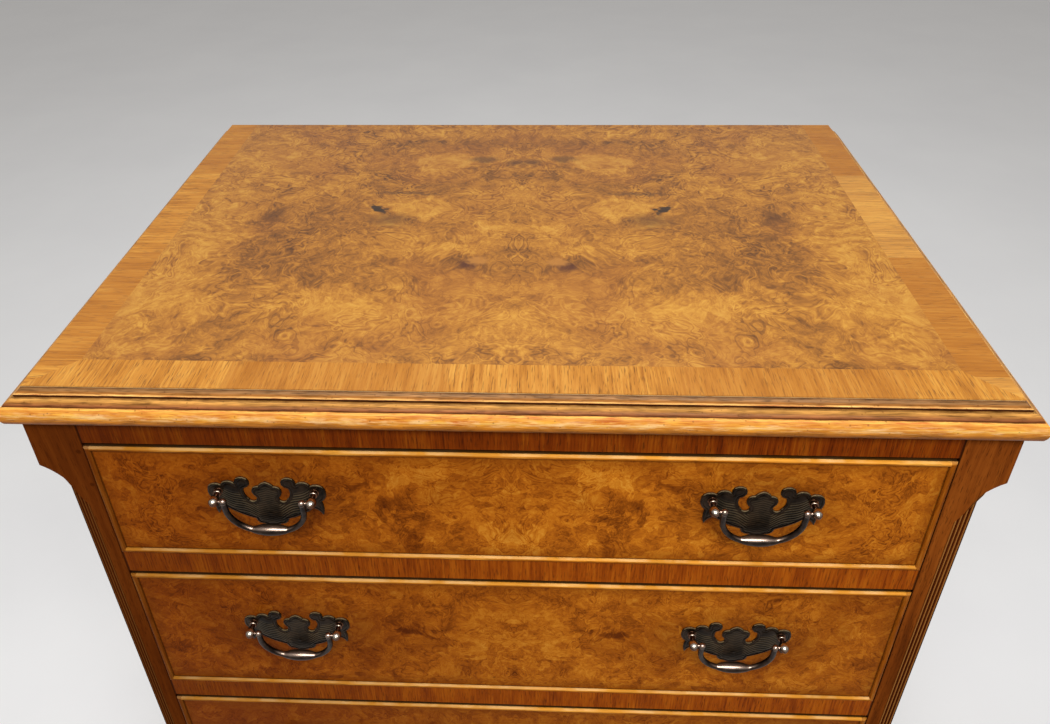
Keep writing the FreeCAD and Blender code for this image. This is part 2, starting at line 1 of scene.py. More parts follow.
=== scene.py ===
# Bachelors chest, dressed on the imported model: burr walnut veneers, walnut mouldings and posts,
# cock-beaded drawers and antique brass swan-neck handles. Lengths are metres in the model's frame.
import cmath
import math

import bmesh
import bpy
import numpy as np
from mathutils import Matrix, Vector


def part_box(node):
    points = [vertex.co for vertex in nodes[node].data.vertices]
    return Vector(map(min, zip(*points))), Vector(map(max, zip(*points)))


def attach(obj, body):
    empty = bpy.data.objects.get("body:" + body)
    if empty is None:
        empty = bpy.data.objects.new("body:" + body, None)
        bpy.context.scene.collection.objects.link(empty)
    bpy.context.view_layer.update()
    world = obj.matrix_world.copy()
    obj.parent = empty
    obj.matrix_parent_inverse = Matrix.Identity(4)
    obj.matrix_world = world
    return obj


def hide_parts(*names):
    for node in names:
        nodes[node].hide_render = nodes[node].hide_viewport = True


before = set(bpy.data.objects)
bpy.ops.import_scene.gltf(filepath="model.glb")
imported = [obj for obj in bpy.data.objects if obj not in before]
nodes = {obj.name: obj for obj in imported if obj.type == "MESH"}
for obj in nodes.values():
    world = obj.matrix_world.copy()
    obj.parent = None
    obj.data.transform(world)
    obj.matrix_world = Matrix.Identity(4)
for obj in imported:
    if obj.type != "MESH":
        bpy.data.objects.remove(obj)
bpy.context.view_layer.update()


# Bearers inside the case: runners, guides, kickers, stops, the board of the top and the foot blocks.
# They are pine, sawn and planed but left bare, so they stay pale, dry and a little rough.
x_axis = 0
y_axis = 1
z_axis = 2


def linear_colour(code):
    """An sRGB hex colour as the linear colour that shaders take."""
    channels = [int(code[spot:spot + 2], 16) / 255 for spot in (1, 3, 5)]
    return [c / 12.92 if c <= 0.04045 else ((c + 0.055) / 1.055) ** 2.4 for c in channels] + [1.0]


def feed(tree, node, inputs):
    """Fill a node's inputs with values, sockets, or other nodes, of which the first output counts."""
    for name, value in inputs.items():
        if isinstance(value, bpy.types.Node):
            value = value.outputs[0]
        if isinstance(value, bpy.types.NodeSocket):
            tree.links.new(value, node.inputs[name])
        else:
            node.inputs[name].default_value = value


def add(tree, kind, inputs, stops=(), **settings):
    """One shader node, with its settings, the stops of its colour ramp and its inputs."""
    node = tree.nodes.new("ShaderNode" + kind)
    for name, value in settings.items():
        setattr(node, name, value)
    for spot, _ in stops[2:]:
        node.color_ramp.elements.new(spot)
    for number, (spot, code) in enumerate(stops):
        node.color_ramp.elements[number].position = spot
        node.color_ramp.elements[number].color = linear_colour(code)
    feed(tree, node, inputs)
    return node


def new_material(name):
    """An empty material: its node tree, its shader, and the place on the piece in metres."""
    material = bpy.data.materials.new(name)
    material.use_nodes = True
    tree = material.node_tree
    place = add(tree, "TexCoord", {}).outputs["Object"]
    return material, tree, tree.nodes["Principled BSDF"], place


def warped(tree, place, size, reach, follow=None):
    """The place pushed about by soft noise: size is how far apart the pushes are, reach how strong."""
    push = add(tree, "TexNoise", {"Vector": follow or place, "Scale": 1 / size, "Detail": 2.0})
    push = add(tree, "VectorMath", {0: push.outputs["Color"], 1: [0.5] * 3}, operation="SUBTRACT")
    push = add(tree, "VectorMath", {0: push, "Scale": reach}, operation="SCALE")
    return add(tree, "VectorMath", {0: place, 1: push}, operation="ADD")


def laid_over(tree, colour, code, share, blend_type="MIX"):
    """A colour with another laid over it, by a share that is a node or a value."""
    mix = add(tree, "Mix", {0: share, 6: colour, 7: linear_colour(code)}, data_type="RGBA",
              blend_type=blend_type)
    return mix.outputs[2]


def stained(tree, colour, code, value, begin, full, most, where=None, **settings):
    """A stain over a colour: none where the value is at begin, and most of it where the value is at
    full. A node given as where narrows the stain to the places where that node is 1."""
    share = add(tree, "MapRange", {"Value": value, "From Min": begin, "From Max": full, "To Max": most},
                **settings)
    if where is not None:
        share = add(tree, "Math", {0: share, 1: where}, operation="MULTIPLY")
    return laid_over(tree, colour, code, share)


# Grain: pores are drawn about twice as wide as in real walnut, so that they show at this size.
# Lengths of growth bands and of the clouds of tone over them are counted in stripes.
pore_width = 0.0007
pore_length = 0.010
pore_colour = "#2a1206"
grain_bend = 0.14
band_length = 30
cloud_width = 9
cloud_length = 40
tone_steps = (0.34, 0.50, 0.66)
dullness_spread = 0.07


def planed_wood(name, grain, tones, stripe, roughness, coat=0.0, gloss=0.3, turn=None, tint=None):
    """Wood cut along its grain (an axis number). Tones run dark, middle, pale; a stripe is one growth
    band. turn swaps axes where strips meet at a mitre, and tint works over the finished colour."""
    material, tree, shader, place = new_material(name)
    laid = turn(tree, place) if turn else place
    drifted = warped(tree, laid, grain_bend, stripe * 2)

    def stretched_noise(across, along, detail):
        scale = [1 / across] * 3
        scale[grain] = 1 / along
        spot = add(tree, "VectorMath", {0: drifted, 1: scale}, operation="MULTIPLY")
        return add(tree, "TexNoise", {"Vector": spot, "Scale": 1.0, "Detail": detail, "Roughness": 0.6})

    bands = stretched_noise(stripe, stripe * band_length, 4.0)
    clouds = stretched_noise(stripe * cloud_width, stripe * cloud_length, 2.0)
    pores = stretched_noise(pore_width, pore_length, 1.0)
    pores = add(tree, "MapRange", {"Value": pores, "From Min": 0.57, "From Max": 0.70})
    level = add(tree, "Mix", {0: 0.45, 2: bands, 3: clouds})
    colour = add(tree, "ValToRGB", {"Fac": level}, stops=list(zip(tone_steps, tones)))
    colour = stained(tree, colour, pore_colour, pores, 0.0, 1.0, 0.55)
    if tint:
        colour = tint(tree, place, colour)
    dullness = add(tree, "MapRange", {"Value": clouds, "From Min": 0.3, "From Max": 0.7,
                                      "To Min": roughness - dullness_spread,
                                      "To Max": roughness + dullness_spread})
    relief = add(tree, "Math", {0: pores, 1: bands}, operation="SUBTRACT")
    bump = add(tree, "Bump", {"Height": relief, "Strength": 0.25, "Distance": 0.0003}, invert=True)
    feed(tree, shader, {"Base Color": colour, "Roughness": dullness, "Normal": bump,
                        "Specular IOR Level": gloss, "Coat Weight": coat, "Coat Roughness": 0.18})
    return material


def dress(names, material):
    """Give one material to the named nodes."""
    for name in names:
        for slot in nodes[name].material_slots:
            slot.material = material


# Sawn pine takes the light evenly: hardly any shine, and broad pale growth bands
pine_tones = ("#b58f5c", "#d3b483", "#e2c99c")
pine_pieces = {
    "along_the_case": (y_axis, ["drawer_runners", "drawer_guides", "top_kickers"]),
    "across_the_case": (x_axis, ["drawer_stops", "top_board"]),
    "upright": (z_axis, ["foot_blocks"]),
}
for direction, (grain, names) in pine_pieces.items():
    dress(names, planed_wood("bare_pine_" + direction, grain, pine_tones, 0.006, 0.7))


# Back and dust board: thin plywood with a plain face veneer, left bare.
# The veneer was peeled from the log, so its face shows broad, loose bands and no shine.
ply_tones = ("#a37a4c", "#bd9565", "#cfab7d")
dress(["back_panel", "dust_board"], planed_wood("bare_plywood_upright", z_axis, ply_tones, 0.012, 0.65))


# Case sides: walnut veneer on the case boards, grain upright, stained warm brown.
# The polish is thin and satin, so the sides shine only softly.
walnut_tones = ("#5e2a08", "#8a450f", "#a45c1a")
dress(["side_panel_right", "side_panel_left"],
      planed_wood("polished_upright_walnut", z_axis, walnut_tones, 0.007, 0.45, gloss=0.03))


# Corner posts: solid walnut, square above, canted and fluted below a lamb's-tongue stop.
# Painted shade, with old wax, lies dark in the flutes, and the wax leaves the posts dull all over.
# The lands between the flutes carry a painted highlight, and a few pin holes were filled.
post_low, post_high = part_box("corner_post_right")
case_half = post_high.x
front_face = post_low.y
opening_half = post_low.x
cant_across = 0.025
cant_back = 0.021
cant_width = math.hypot(cant_across, cant_back)
flute_spacing = cant_width / 4
flute_turn = 2 * math.pi / (cant_width * flute_spacing)
arris_margin = 0.0012
pin_holes_per_metre = 28.0


def from_middle(tree, place):
    """How far a place lies to the left or right of the middle."""
    across = add(tree, "SeparateXYZ", {0: place}).outputs["X"]
    return add(tree, "Math", {0: across}, operation="ABSOLUTE")


def painted_shade_to_left(tree, place, colour):
    """Painted shade toward the left, as the light falls from the right."""
    across = add(tree, "SeparateXYZ", {0: place}).outputs["X"]
    return stained(tree, colour, "#431a05", across, 0.05, -case_half, 0.6)


def flute_light_shade_and_pins(tree, place, colour):
    """Painted shade with old wax in the flutes of both posts, painted highlights on the lands between
    them, pin holes, and painted shade at the drawers' gap and toward the left.
    """
    side = from_middle(tree, place)
    depth = add(tree, "SeparateXYZ", {0: place}).outputs["Y"]
    from_arris = add(tree, "Math", {0: side, 1: case_half - cant_across}, operation="SUBTRACT")
    from_face = add(tree, "Math", {0: depth, 1: front_face}, operation="SUBTRACT")
    # The wave is 1 in the middle of each flute and -1 in the middle of each land
    wave = add(tree, "Math", {0: from_arris, 1: cant_across * flute_turn}, operation="MULTIPLY")
    wave = add(tree, "Math", {0: from_face, 1: cant_back * flute_turn, 2: wave}, operation="MULTIPLY_ADD")
    wave = add(tree, "Math", {0: wave}, operation="COSINE")
    behind_face = add(tree, "Math", {0: from_face, 1: arris_margin}, operation="GREATER_THAN")
    outside = add(tree, "Math", {0: from_arris, 1: arris_margin}, operation="GREATER_THAN")
    on_cant = add(tree, "Math", {0: behind_face, 1: outside}, operation="MULTIPLY")
    # Painted highlight on the lands between the flutes
    colour = stained(tree, colour, "#b47a3c", wave, -0.4, -0.75, 0.7, where=on_cant)
    # Painted shade, with old wax, in the flutes
    colour = stained(tree, colour, "#320d05", wave, -0.5, 0.0, 0.88, where=on_cant)
    pins = add(tree, "TexVoronoi", {"Vector": place, "Scale": pin_holes_per_metre})
    colour = stained(tree, colour, "#2a0f04", pins, 0.07, 0.04, 0.7)
    # Painted shade along the gap beside the drawers
    colour = stained(tree, colour, "#160803", side, opening_half + 0.0012, opening_half + 0.0003, 0.9)
    return painted_shade_to_left(tree, place, colour)


post_tones = ("#52250a", "#74380f", "#8c4916")
dress(["corner_post_right", "corner_post_left"],
      planed_wood("waxed_post_walnut", z_axis, post_tones, 0.005, 0.5, gloss=0.0, tint=flute_light_shade_and_pins))


# Rails between the drawers, faced with walnut laid across the rail, so the grain stands upright.
# It was stained darker and redder than the drawers to frame them, and the top rail is painted darkest,
# as the shadow of the top's overhang. Fine upright streaks and no shine show.
def dark_ends(tree, place, colour):
    """A dark line where each rail meets its posts, and painted shade toward the left."""
    colour = painted_shade_to_left(tree, place, colour)
    side = from_middle(tree, place)
    return stained(tree, colour, "#1c0a03", side, opening_half - 0.0014, opening_half - 0.0005, 0.85)


rail_facings = {
    "drawer_rails": ("cross_grain_rail_facing", ("#702d05", "#944509", "#ae5c10")),
    # The top rail's darker tones are painted shadow from the top's overhang
    "top_rail": ("cross_grain_top_rail_facing_in_painted_shadow", ("#561e03", "#722f05", "#8a450a")),
}
for name, (facing, tones) in rail_facings.items():
    dress([name], planed_wood(facing, z_axis, tones, 0.0014, 0.45, gloss=0.01, tint=dark_ends))


# Base frame and bracket feet: solid walnut, moulded along the strip and mitred at the front corners.
# Each strip's grain runs its own length, under the same thin satin polish as the sides.
def swapped_where(tree, place, there, order):
    """The place with its axes in another order where a node is 1."""
    parts = add(tree, "SeparateXYZ", {0: place}).outputs
    swapped = add(tree, "CombineXYZ", {axis: parts[source] for axis, source in zip("XYZ", order)})
    return add(tree, "Mix", {0: there, 4: place, 5: swapped}, data_type="VECTOR").outputs[1]


def mitred(edge_x, edge_y):
    """A turn that swaps x and y on the side strips of a frame whose front corners are mitred."""
    def turn(tree, place):
        depth = add(tree, "SeparateXYZ", {0: place}).outputs["Y"]
        past_side = add(tree, "Math", {0: from_middle(tree, place), 1: edge_x}, operation="SUBTRACT")
        past_front = add(tree, "Math", {0: edge_y, 1: depth}, operation="SUBTRACT")
        on_side = add(tree, "Math", {0: past_side, 1: past_front}, operation="GREATER_THAN")
        return swapped_where(tree, place, on_side, "YXZ")
    return turn


base_low, base_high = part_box("base_frame")
dress(["base_frame", "bracket_feet"],
      planed_wood("polished_base_walnut", x_axis, walnut_tones, 0.006, 0.42, gloss=0.05,
                  turn=mitred(base_high.x, base_low.y)))


# Top: two leaves of burr walnut veneer, opened like a book on the middle line.
# A burr grows round hundreds of buds, so the figure drifts in clouds and curls, with thin growth lines,
# ringed eyes and dark knots. The polish is satin and filled, which leaves the surface almost flat.
# Each bend of the figure says how far apart its pushes are and how strong.
second_leaf_bend = (0.06, 0.012)
eye_bend = (0.02, 0.008)
wavy_bend = (0.009, 0.013)
ragged_bend = (0.035, 0.045)
ragged_nicks = (0.010, 0.018)
burr_steps = (0.22, 0.36, 0.46, 0.54, 0.64, 0.78)


def away_from(tree, place, across, base, x, other, half_x, half_other):
    """How far a place is from a mark, where 1 is its edge. The mark's second numbers count along the
    axis named across, from the base."""
    centre = [x, 0, 0]
    centre[across] = base + other
    squeeze = [1 / half_x, 0, 0]
    squeeze[across] = 1 / half_other
    away = add(tree, "VectorMath", {0: place, 1: centre}, operation="SUBTRACT")
    away = add(tree, "VectorMath", {0: away, 1: squeeze}, operation="MULTIPLY")
    return add(tree, "VectorMath", {0: away}, operation="LENGTH").outputs["Value"]


def lumps(tree, spot, size, detail, distortion):
    """Uneven tone in lumps of about one size."""
    return add(tree, "TexNoise", {"Vector": spot, "Scale": 1 / size, "Detail": detail,
                                  "Roughness": 0.58, "Distortion": distortion})


def fan_of_mottles(tree, flow, across, heart, fleck):
    """Figure drawn out into a fan of mottles, which begins some way out from the heart."""
    parts = add(tree, "SeparateXYZ", {0: flow}).outputs
    ahead = add(tree, "Math", {0: parts[across], 1: heart}, operation="SUBTRACT")
    angle = add(tree, "Math", {0: ahead, 1: parts["X"]}, operation="ARCTAN2")
    rays = add(tree, "Math", {0: angle, 1: 0.2 / fleck}, operation="MULTIPLY")
    outward = add(tree, "CombineXYZ", {"X": parts["X"], "Y": ahead})
    outward = add(tree, "VectorMath", {0: outward}, operation="LENGTH").outputs["Value"]
    steps = add(tree, "Math", {0: outward, 1: 1 / (3.5 * fleck)}, operation="MULTIPLY")
    spot = add(tree, "CombineXYZ", {"X": rays, "Y": steps})
    fan = add(tree, "TexNoise", {"Vector": spot, "Scale": 1.0, "Detail": 3.0, "Distortion": 0.5})
    outer = add(tree, "MapRange", {"Value": outward, "From Min": 0.08, "From Max": 0.24})
    return add(tree, "Mix", {0: outer, 2: 0.5, 3: fan})


def turned_flakes(tree, flow, cloud):
    """Where the grain turns over, one flake of figure ends sharply against the next."""
    turned_grain = warped(tree, flow, cloud / 6, cloud / 5)
    flakes = add(tree, "TexVoronoi", {"Vector": turned_grain, "Scale": 5.5 / cloud})
    return add(tree, "SeparateColor", {0: flakes.outputs["Color"]}).outputs["Red"]


def growth_bands(tree, leaf, flow, figure, across, fleck, cloud):
    """Uneven bands a few millimetres wide that follow the swirls and close round the eyes."""
    swirl = cloud * 0.38
    bands_per_swirl = 4.5 * swirl / fleck
    contour = lumps(tree, flow, swirl, 2.0, 0.6)
    for x, other, radius, rings in figure["eyes"]:
        bent = warped(tree, leaf, *eye_bend)
        away = away_from(tree, bent, across, figure["base"], x, other, radius, radius)
        inside = add(tree, "MapRange", {"Value": away, "From Min": 1.7, "From Max": 0.7})
        height = add(tree, "Math", {0: away, 1: -rings / bands_per_swirl, 2: 0.6}, operation="MULTIPLY_ADD")
        contour = add(tree, "Mix", {0: inside, 2: contour, 3: height})
    contour = add(tree, "Math", {0: contour, 1: bands_per_swirl}, operation="MULTIPLY")
    return add(tree, "TexNoise", {"W": contour, "Scale": 1.0, "Detail": 3.0, "Roughness": 0.65},
               noise_dimensions="1D")


def burr_walnut(name, tones, figure, across, heart, fleck, cloud, weights, gloss, coat, tint=None):
    """Burr veneer mirrored about the middle. figure holds its marks, each with its middle first, as x and
    a distance from the base. Shades and stains go on with half sizes, softness, a stain's colour and
    strength, eyes with a radius and rings. weights are those of the layers of tone, in the order in
    which they are laid below."""
    material, tree, shader, place = new_material(name)
    parts = add(tree, "SeparateXYZ", {0: place}).outputs
    leaf = add(tree, "CombineXYZ", {"X": from_middle(tree, place), "Y": parts["Y"], "Z": parts["Z"]})
    # The second leaf is the next slice of the burr, so its figure has shifted a little
    leaf = warped(tree, leaf, *second_leaf_bend, follow=place)
    flow = warped(tree, leaf, cloud, cloud * 0.55)
    flow = warped(tree, flow, cloud / 3, cloud / 5)
    clouds = lumps(tree, flow, cloud, 2.0, 0.0)
    curls = lumps(tree, flow, cloud / 4, 6.0, 0.8)
    flecks = lumps(tree, flow, fleck, 3.0, 1.4)
    fan = fan_of_mottles(tree, flow, across, heart, fleck)
    flakes = turned_flakes(tree, flow, cloud)
    bands = growth_bands(tree, leaf, flow, figure, across, fleck, cloud)
    level = 0.5 - sum(weights) / 2
    for layer, weight in zip((clouds, curls, flecks, fan, flakes, bands), weights):
        level = add(tree, "Math", {0: layer, 1: weight, 2: level}, operation="MULTIPLY_ADD")

    # Thin dark growth lines stand in groups
    drift = add(tree, "SeparateColor", {0: clouds.outputs["Color"]}).outputs
    groups = add(tree, "MapRange", {"Value": drift["Blue"], "From Min": 0.42, "From Max": 0.58})
    lines = add(tree, "MapRange", {"Value": bands, "From Min": 0.42, "From Max": 0.35, "To Max": -0.07})
    level = add(tree, "Math", {0: lines, 1: groups, 2: level}, operation="MULTIPLY_ADD")
    wavy = warped(tree, leaf, *wavy_bend)
    ragged = warped(tree, warped(tree, leaf, *ragged_bend), *ragged_nicks)
    for *mark, softness, shift in figure["shades"]:
        away = away_from(tree, ragged, across, figure["base"], *mark)
        patch = add(tree, "MapRange", {"Value": away, "From Min": 1 + softness, "From Max": 1 - softness,
                                       "To Max": shift}, interpolation_type="SMOOTHSTEP")
        level = add(tree, "Math", {0: level, 1: patch}, operation="ADD")
    colour = add(tree, "ValToRGB", {"Fac": level}, stops=list(zip(burr_steps, tones)))
    colour = stained(tree, colour, figure["red"], drift["Green"], 0.5, 0.66, 0.3)
    # Buds that never grew out leave dark pin knots, in groups too
    buds = add(tree, "TexVoronoi", {"Vector": leaf, "Scale": 0.16 / fleck})
    colour = stained(tree, colour, "#3a1a06", buds, 0.07, 0.03, 0.55, where=groups)
    # Painted shade: the left half is darkened, and the far right a little, as the light falls from the
    # right
    side_shade = figure["side_shade"]
    shade_leftward = add(tree, "MapRange", {"Value": parts["X"], "From Min": 0.06, "From Max": -0.2,
                                         "To Max": side_shade})
    shade_rightmost = add(tree, "MapRange", {"Value": parts["X"], "From Min": 0.08, "From Max": 0.25,
                                       "To Max": side_shade / 5})
    painted_end_shade = add(tree, "Math", {0: shade_leftward, 1: shade_rightmost}, operation="ADD")
    colour = laid_over(tree, colour, "#c3afa2", painted_end_shade, blend_type="MULTIPLY")
    # Painted shade: the lower drawers take more of the dark red, as less light reaches them
    colour = laid_over(tree, colour, figure["red"], figure["lower_shade"])
    for *mark, softness, code, most in figure["stains"]:
        bent = wavy if softness > 0.3 else ragged
        away = away_from(tree, bent, across, figure["base"], *mark)
        colour = stained(tree, colour, code, away, 1 + softness, 1 - softness, most,
                         interpolation_type="SMOOTHSTEP")
    if tint:
        colour = tint(tree, place, colour)

    dullness = add(tree, "MapRange", {"Value": curls, "To Min": 0.26, "To Max": 0.42})
    bump = add(tree, "Bump", {"Height": flecks, "Strength": 0.06, "Distance": 0.0003})
    feed(tree, shader, {"Base Color": colour, "Roughness": dullness, "Normal": bump,
                        "Specular IOR Level": gloss, "Coat Weight": coat, "Coat Roughness": 0.2})
    return material


top_figure = {
    "base": front_face,
    "red": "#9a5a20",
    "side_shade": 0.15,
    "lower_shade": 0.0,
    "shades": [
        (0.205, 0.225, 0.050, 0.040, 0.7, -0.09),
        (0.215, 0.238, 0.018, 0.012, 0.6, -0.10),
        (0.190, 0.150, 0.048, 0.032, 0.7, -0.08),
        (0.060, 0.312, 0.085, 0.024, 0.6, -0.07),
        (0.030, 0.395, 0.080, 0.026, 0.7, -0.07),
        (0.150, 0.392, 0.050, 0.026, 0.7, -0.06),
        (0.022, 0.160, 0.045, 0.020, 0.6, -0.08),
        (0.270, 0.112, 0.048, 0.034, 0.7, 0.09),
        (0.270, 0.215, 0.034, 0.050, 0.8, 0.06),
        (0.118, 0.092, 0.050, 0.022, 0.7, 0.08),
        (0.255, 0.350, 0.040, 0.026, 0.6, 0.07),
        (0.085, 0.190, 0.040, 0.016, 0.6, 0.06),
        (0.075, 0.348, 0.033, 0.021, 0.2, 0.13),
        (0.090, 0.256, 0.030, 0.020, 0.2, 0.12),
        (0.000, 0.222, 0.030, 0.008, 0.4, 0.10),
        (0.285, 0.190, 0.040, 0.230, 0.8, 0.03),
    ],
    "eyes": [(0.090, 0.062, 0.010, 4), (0.160, 0.062, 0.008, 2),
             (0.055, 0.078, 0.006, 2), (0.125, 0.050, 0.006, 1),
             (0.033, 0.157, 0.012, 3), (0.105, 0.125, 0.024, 8)],
    "stains": [
        (0.040, 0.357, 0.012, 0.006, 0.6, "#452a16", 0.65),
        (0.008, 0.350, 0.010, 0.007, 0.6, "#452a16", 0.60),
        (0.112, 0.232, 0.017, 0.010, 0.8, "#4a2b14", 0.60),
        (0.129, 0.250, 0.0060, 0.0065, 0.3, "#17120f", 0.92),
        (0.105, 0.282, 0.032, 0.002, 0.5, "#4a2c14", 0.60),
        (0.038, 0.158, 0.009, 0.006, 0.5, "#4a2010", 0.75),
        (0.032, 0.163, 0.008, 0.006, 0.4, "#b0742e", 0.85),
    ],
}
burr_top_tones = ("#58330c", "#7e4d15", "#9e641d", "#b27524", "#c58a30", "#d49e40")
dress(["top_burr_veneer"],
      burr_walnut("polished_burr_walnut_top", burr_top_tones, top_figure, y_axis, heart=front_face + 0.23,
                  fleck=0.006, cloud=0.085, weights=(0.18, 0.40, 0.40, 0.28, 0.09, 0.28),
                  gloss=0.35, coat=0.25))


# Crossbanding of the top: strips of straight-grained walnut laid across the edge in several leaves.
# Each leaf was cut from another place, so their tones step along the strip under a thin, clear polish.
band_low, band_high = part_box("top_crossbanding")
top_turn = mitred(band_high.x, band_low.y)
leaf_length = 0.148
leaf_start = 0.272
chance_depth = 0.2
odd_leaf_depth = 0.4
pale_leaf_depth = 0.17


def leaf_tones(tree, place, colour):
    """Pale and deep leaves in turn along each strip, palest on the right."""
    parts = add(tree, "SeparateXYZ", {0: top_turn(tree, place)}).outputs
    along = add(tree, "Math", {0: parts["X"], 1: 1 / leaf_length, 2: leaf_start}, operation="MULTIPLY_ADD")
    number = add(tree, "Math", {0: along}, operation="FLOOR")
    odd = add(tree, "Math", {0: number, 1: 1.0}, operation="PINGPONG")
    side = add(tree, "Math", {0: parts["Y"]}, operation="SIGN")
    spot = add(tree, "CombineXYZ", {"X": number, "Y": side})
    chance = add(tree, "TexWhiteNoise", {"Vector": spot})
    shade = add(tree, "Math", {0: chance, 1: chance_depth}, operation="MULTIPLY")
    shade = add(tree, "Math", {0: odd, 1: odd_leaf_depth, 2: shade}, operation="MULTIPLY_ADD")
    colour = laid_over(tree, colour, "#a2621e", shade)
    even_on_right = add(tree, "Math", {0: side, 1: odd}, operation="SUBTRACT")
    return stained(tree, colour, "#f2be68", even_on_right, 0.0, 1.0, pale_leaf_depth)


band_tones = ("#9a5d18", "#bf7e2b", "#d69a40")
dress(["top_crossbanding"],
      planed_wood("polished_crossbanding", y_axis, band_tones, 0.0017, 0.34, coat=0.1, gloss=0.25,
                  turn=top_turn, tint=leaf_tones))


# Edge moulding of the top: solid walnut strips worked with a hollow, an ovolo and a round nose.
# Painted shade lies under the fillet, in the quirks with old stain, and under the nose, and a painted
# sheen fills the hollow. Painted highlights and glints run along the arrises and the nose, over
# small pits. Each colour stands at its share of the way down.
moulding_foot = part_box("top_moulding")[0].z
# Painted shade below the crossband's edge
fillet_shade = [(0.00, "#8a5018"), (0.012, "#3d1e0c"), (0.04, "#4a2810")]
# Painted sheen in the hollow, ending in a painted highlight on its arris
hollow_sheen = [(0.06, "#73502f"), (0.12, "#936a40"), (0.165, "#8a5622"), (0.19, "#e0aa64")]
# Painted shade, with old stain, in the quirk
quirk_shade = [(0.208, "#3c1a0a"), (0.268, "#44200c")]
# Painted highlight on the ovolo's upper edge and painted shade at its foot
ovolo_light_and_shade = [(0.29, "#c08c48"), (0.33, "#94622e"), (0.38, "#8a5430"), (0.43, "#4a200a")]
# Painted highlights across the nose and painted shade on its underside
nose_light_and_shade = [(0.445, "#e2a652"), (0.49, "#cf8c3a"), (0.60, "#d8923a"), (0.64, "#e4ac5a"),
             (0.69, "#d08a30"), (0.85, "#b06a14"), (1.00, "#6c380a")]
# Where the painted glints lie on the nose
nose_glint_band = [(0.50, "#000000"), (0.60, "#ffffff"), (0.70, "#ffffff"), (0.80, "#000000")]
glint_length = 0.012
glint_width = 0.002
pit_spacing = 0.005


def moulding_light_and_pits(tree, place, colour):
    """Painted shade and old stain in the moulding's hollows, painted highlights and glints, and pits."""
    wobble = warped(tree, place, 0.008, 0.0004)
    height = add(tree, "SeparateXYZ", {0: wobble}).outputs["Z"]
    down = add(tree, "MapRange", {"Value": height, "From Min": band_high.z, "From Max": moulding_foot})
    painted_bands = add(tree, "ValToRGB", {"Fac": down},
               stops=fillet_shade + hollow_sheen + quirk_shade + ovolo_light_and_shade + nose_light_and_shade)
    mix = add(tree, "Mix", {0: 0.85, 6: painted_bands, 7: colour}, data_type="RGBA", blend_type="OVERLAY")
    on_crest = add(tree, "ValToRGB", {"Fac": down}, stops=nose_glint_band)
    spot = add(tree, "VectorMath", {0: place, 1: (1 / glint_length, 1 / glint_length, 1 / glint_width)},
               operation="MULTIPLY")
    glints = add(tree, "TexNoise", {"Vector": spot, "Scale": 1.0, "Detail": 4.0, "Roughness": 0.65})
    # Painted glints in pale streaks along the crest of the nose
    colour = stained(tree, mix.outputs[2], "#f8cf92", glints, 0.46, 0.68, 0.7, where=on_crest)
    pits = add(tree, "TexVoronoi", {"Vector": wobble, "Scale": 1 / pit_spacing})
    return stained(tree, colour, "#5a2c0a", pits, 0.16, 0.08, 0.45)


# These grey tones only lighten and darken the painted light and shade along the grain
moulding_tones = ("#7c7468", "#bcb8b2", "#ece8e2")
dress(["top_moulding"],
      planed_wood("polished_moulding", x_axis, moulding_tones, 0.0006, 0.3, gloss=0.07, turn=top_turn,
                  tint=moulding_light_and_pits))


# Drawer boxes: sides and backs dovetailed in a plain pale brown wood, left bare inside.
# The front behind its veneer is a darker wood, which shows the lapped dovetails, and the bottom is
# thin plywood. All of it is dry and dull.
lining_tones = ("#8f683b", "#b08a58", "#c6a474")
front_tones = ("#6e4522", "#8a5a30", "#9f6d3d")
drawer_boards = {
    "sides": planed_wood("bare_lining_along_the_drawer", y_axis, lining_tones, 0.006, 0.6),
    "back": planed_wood("bare_lining_across_the_drawer", x_axis, lining_tones, 0.006, 0.6),
    "front": planed_wood("bare_front_wood", x_axis, front_tones, 0.006, 0.6),
    "bottom": planed_wood("bare_plywood_bottom", x_axis, ply_tones, 0.012, 0.65),
}
drawer_numbers = (1, 2, 3, 4)
for number in drawer_numbers:
    for board, wood in drawer_boards.items():
        dress(["drawer_%d_%s" % (number, board)], wood)


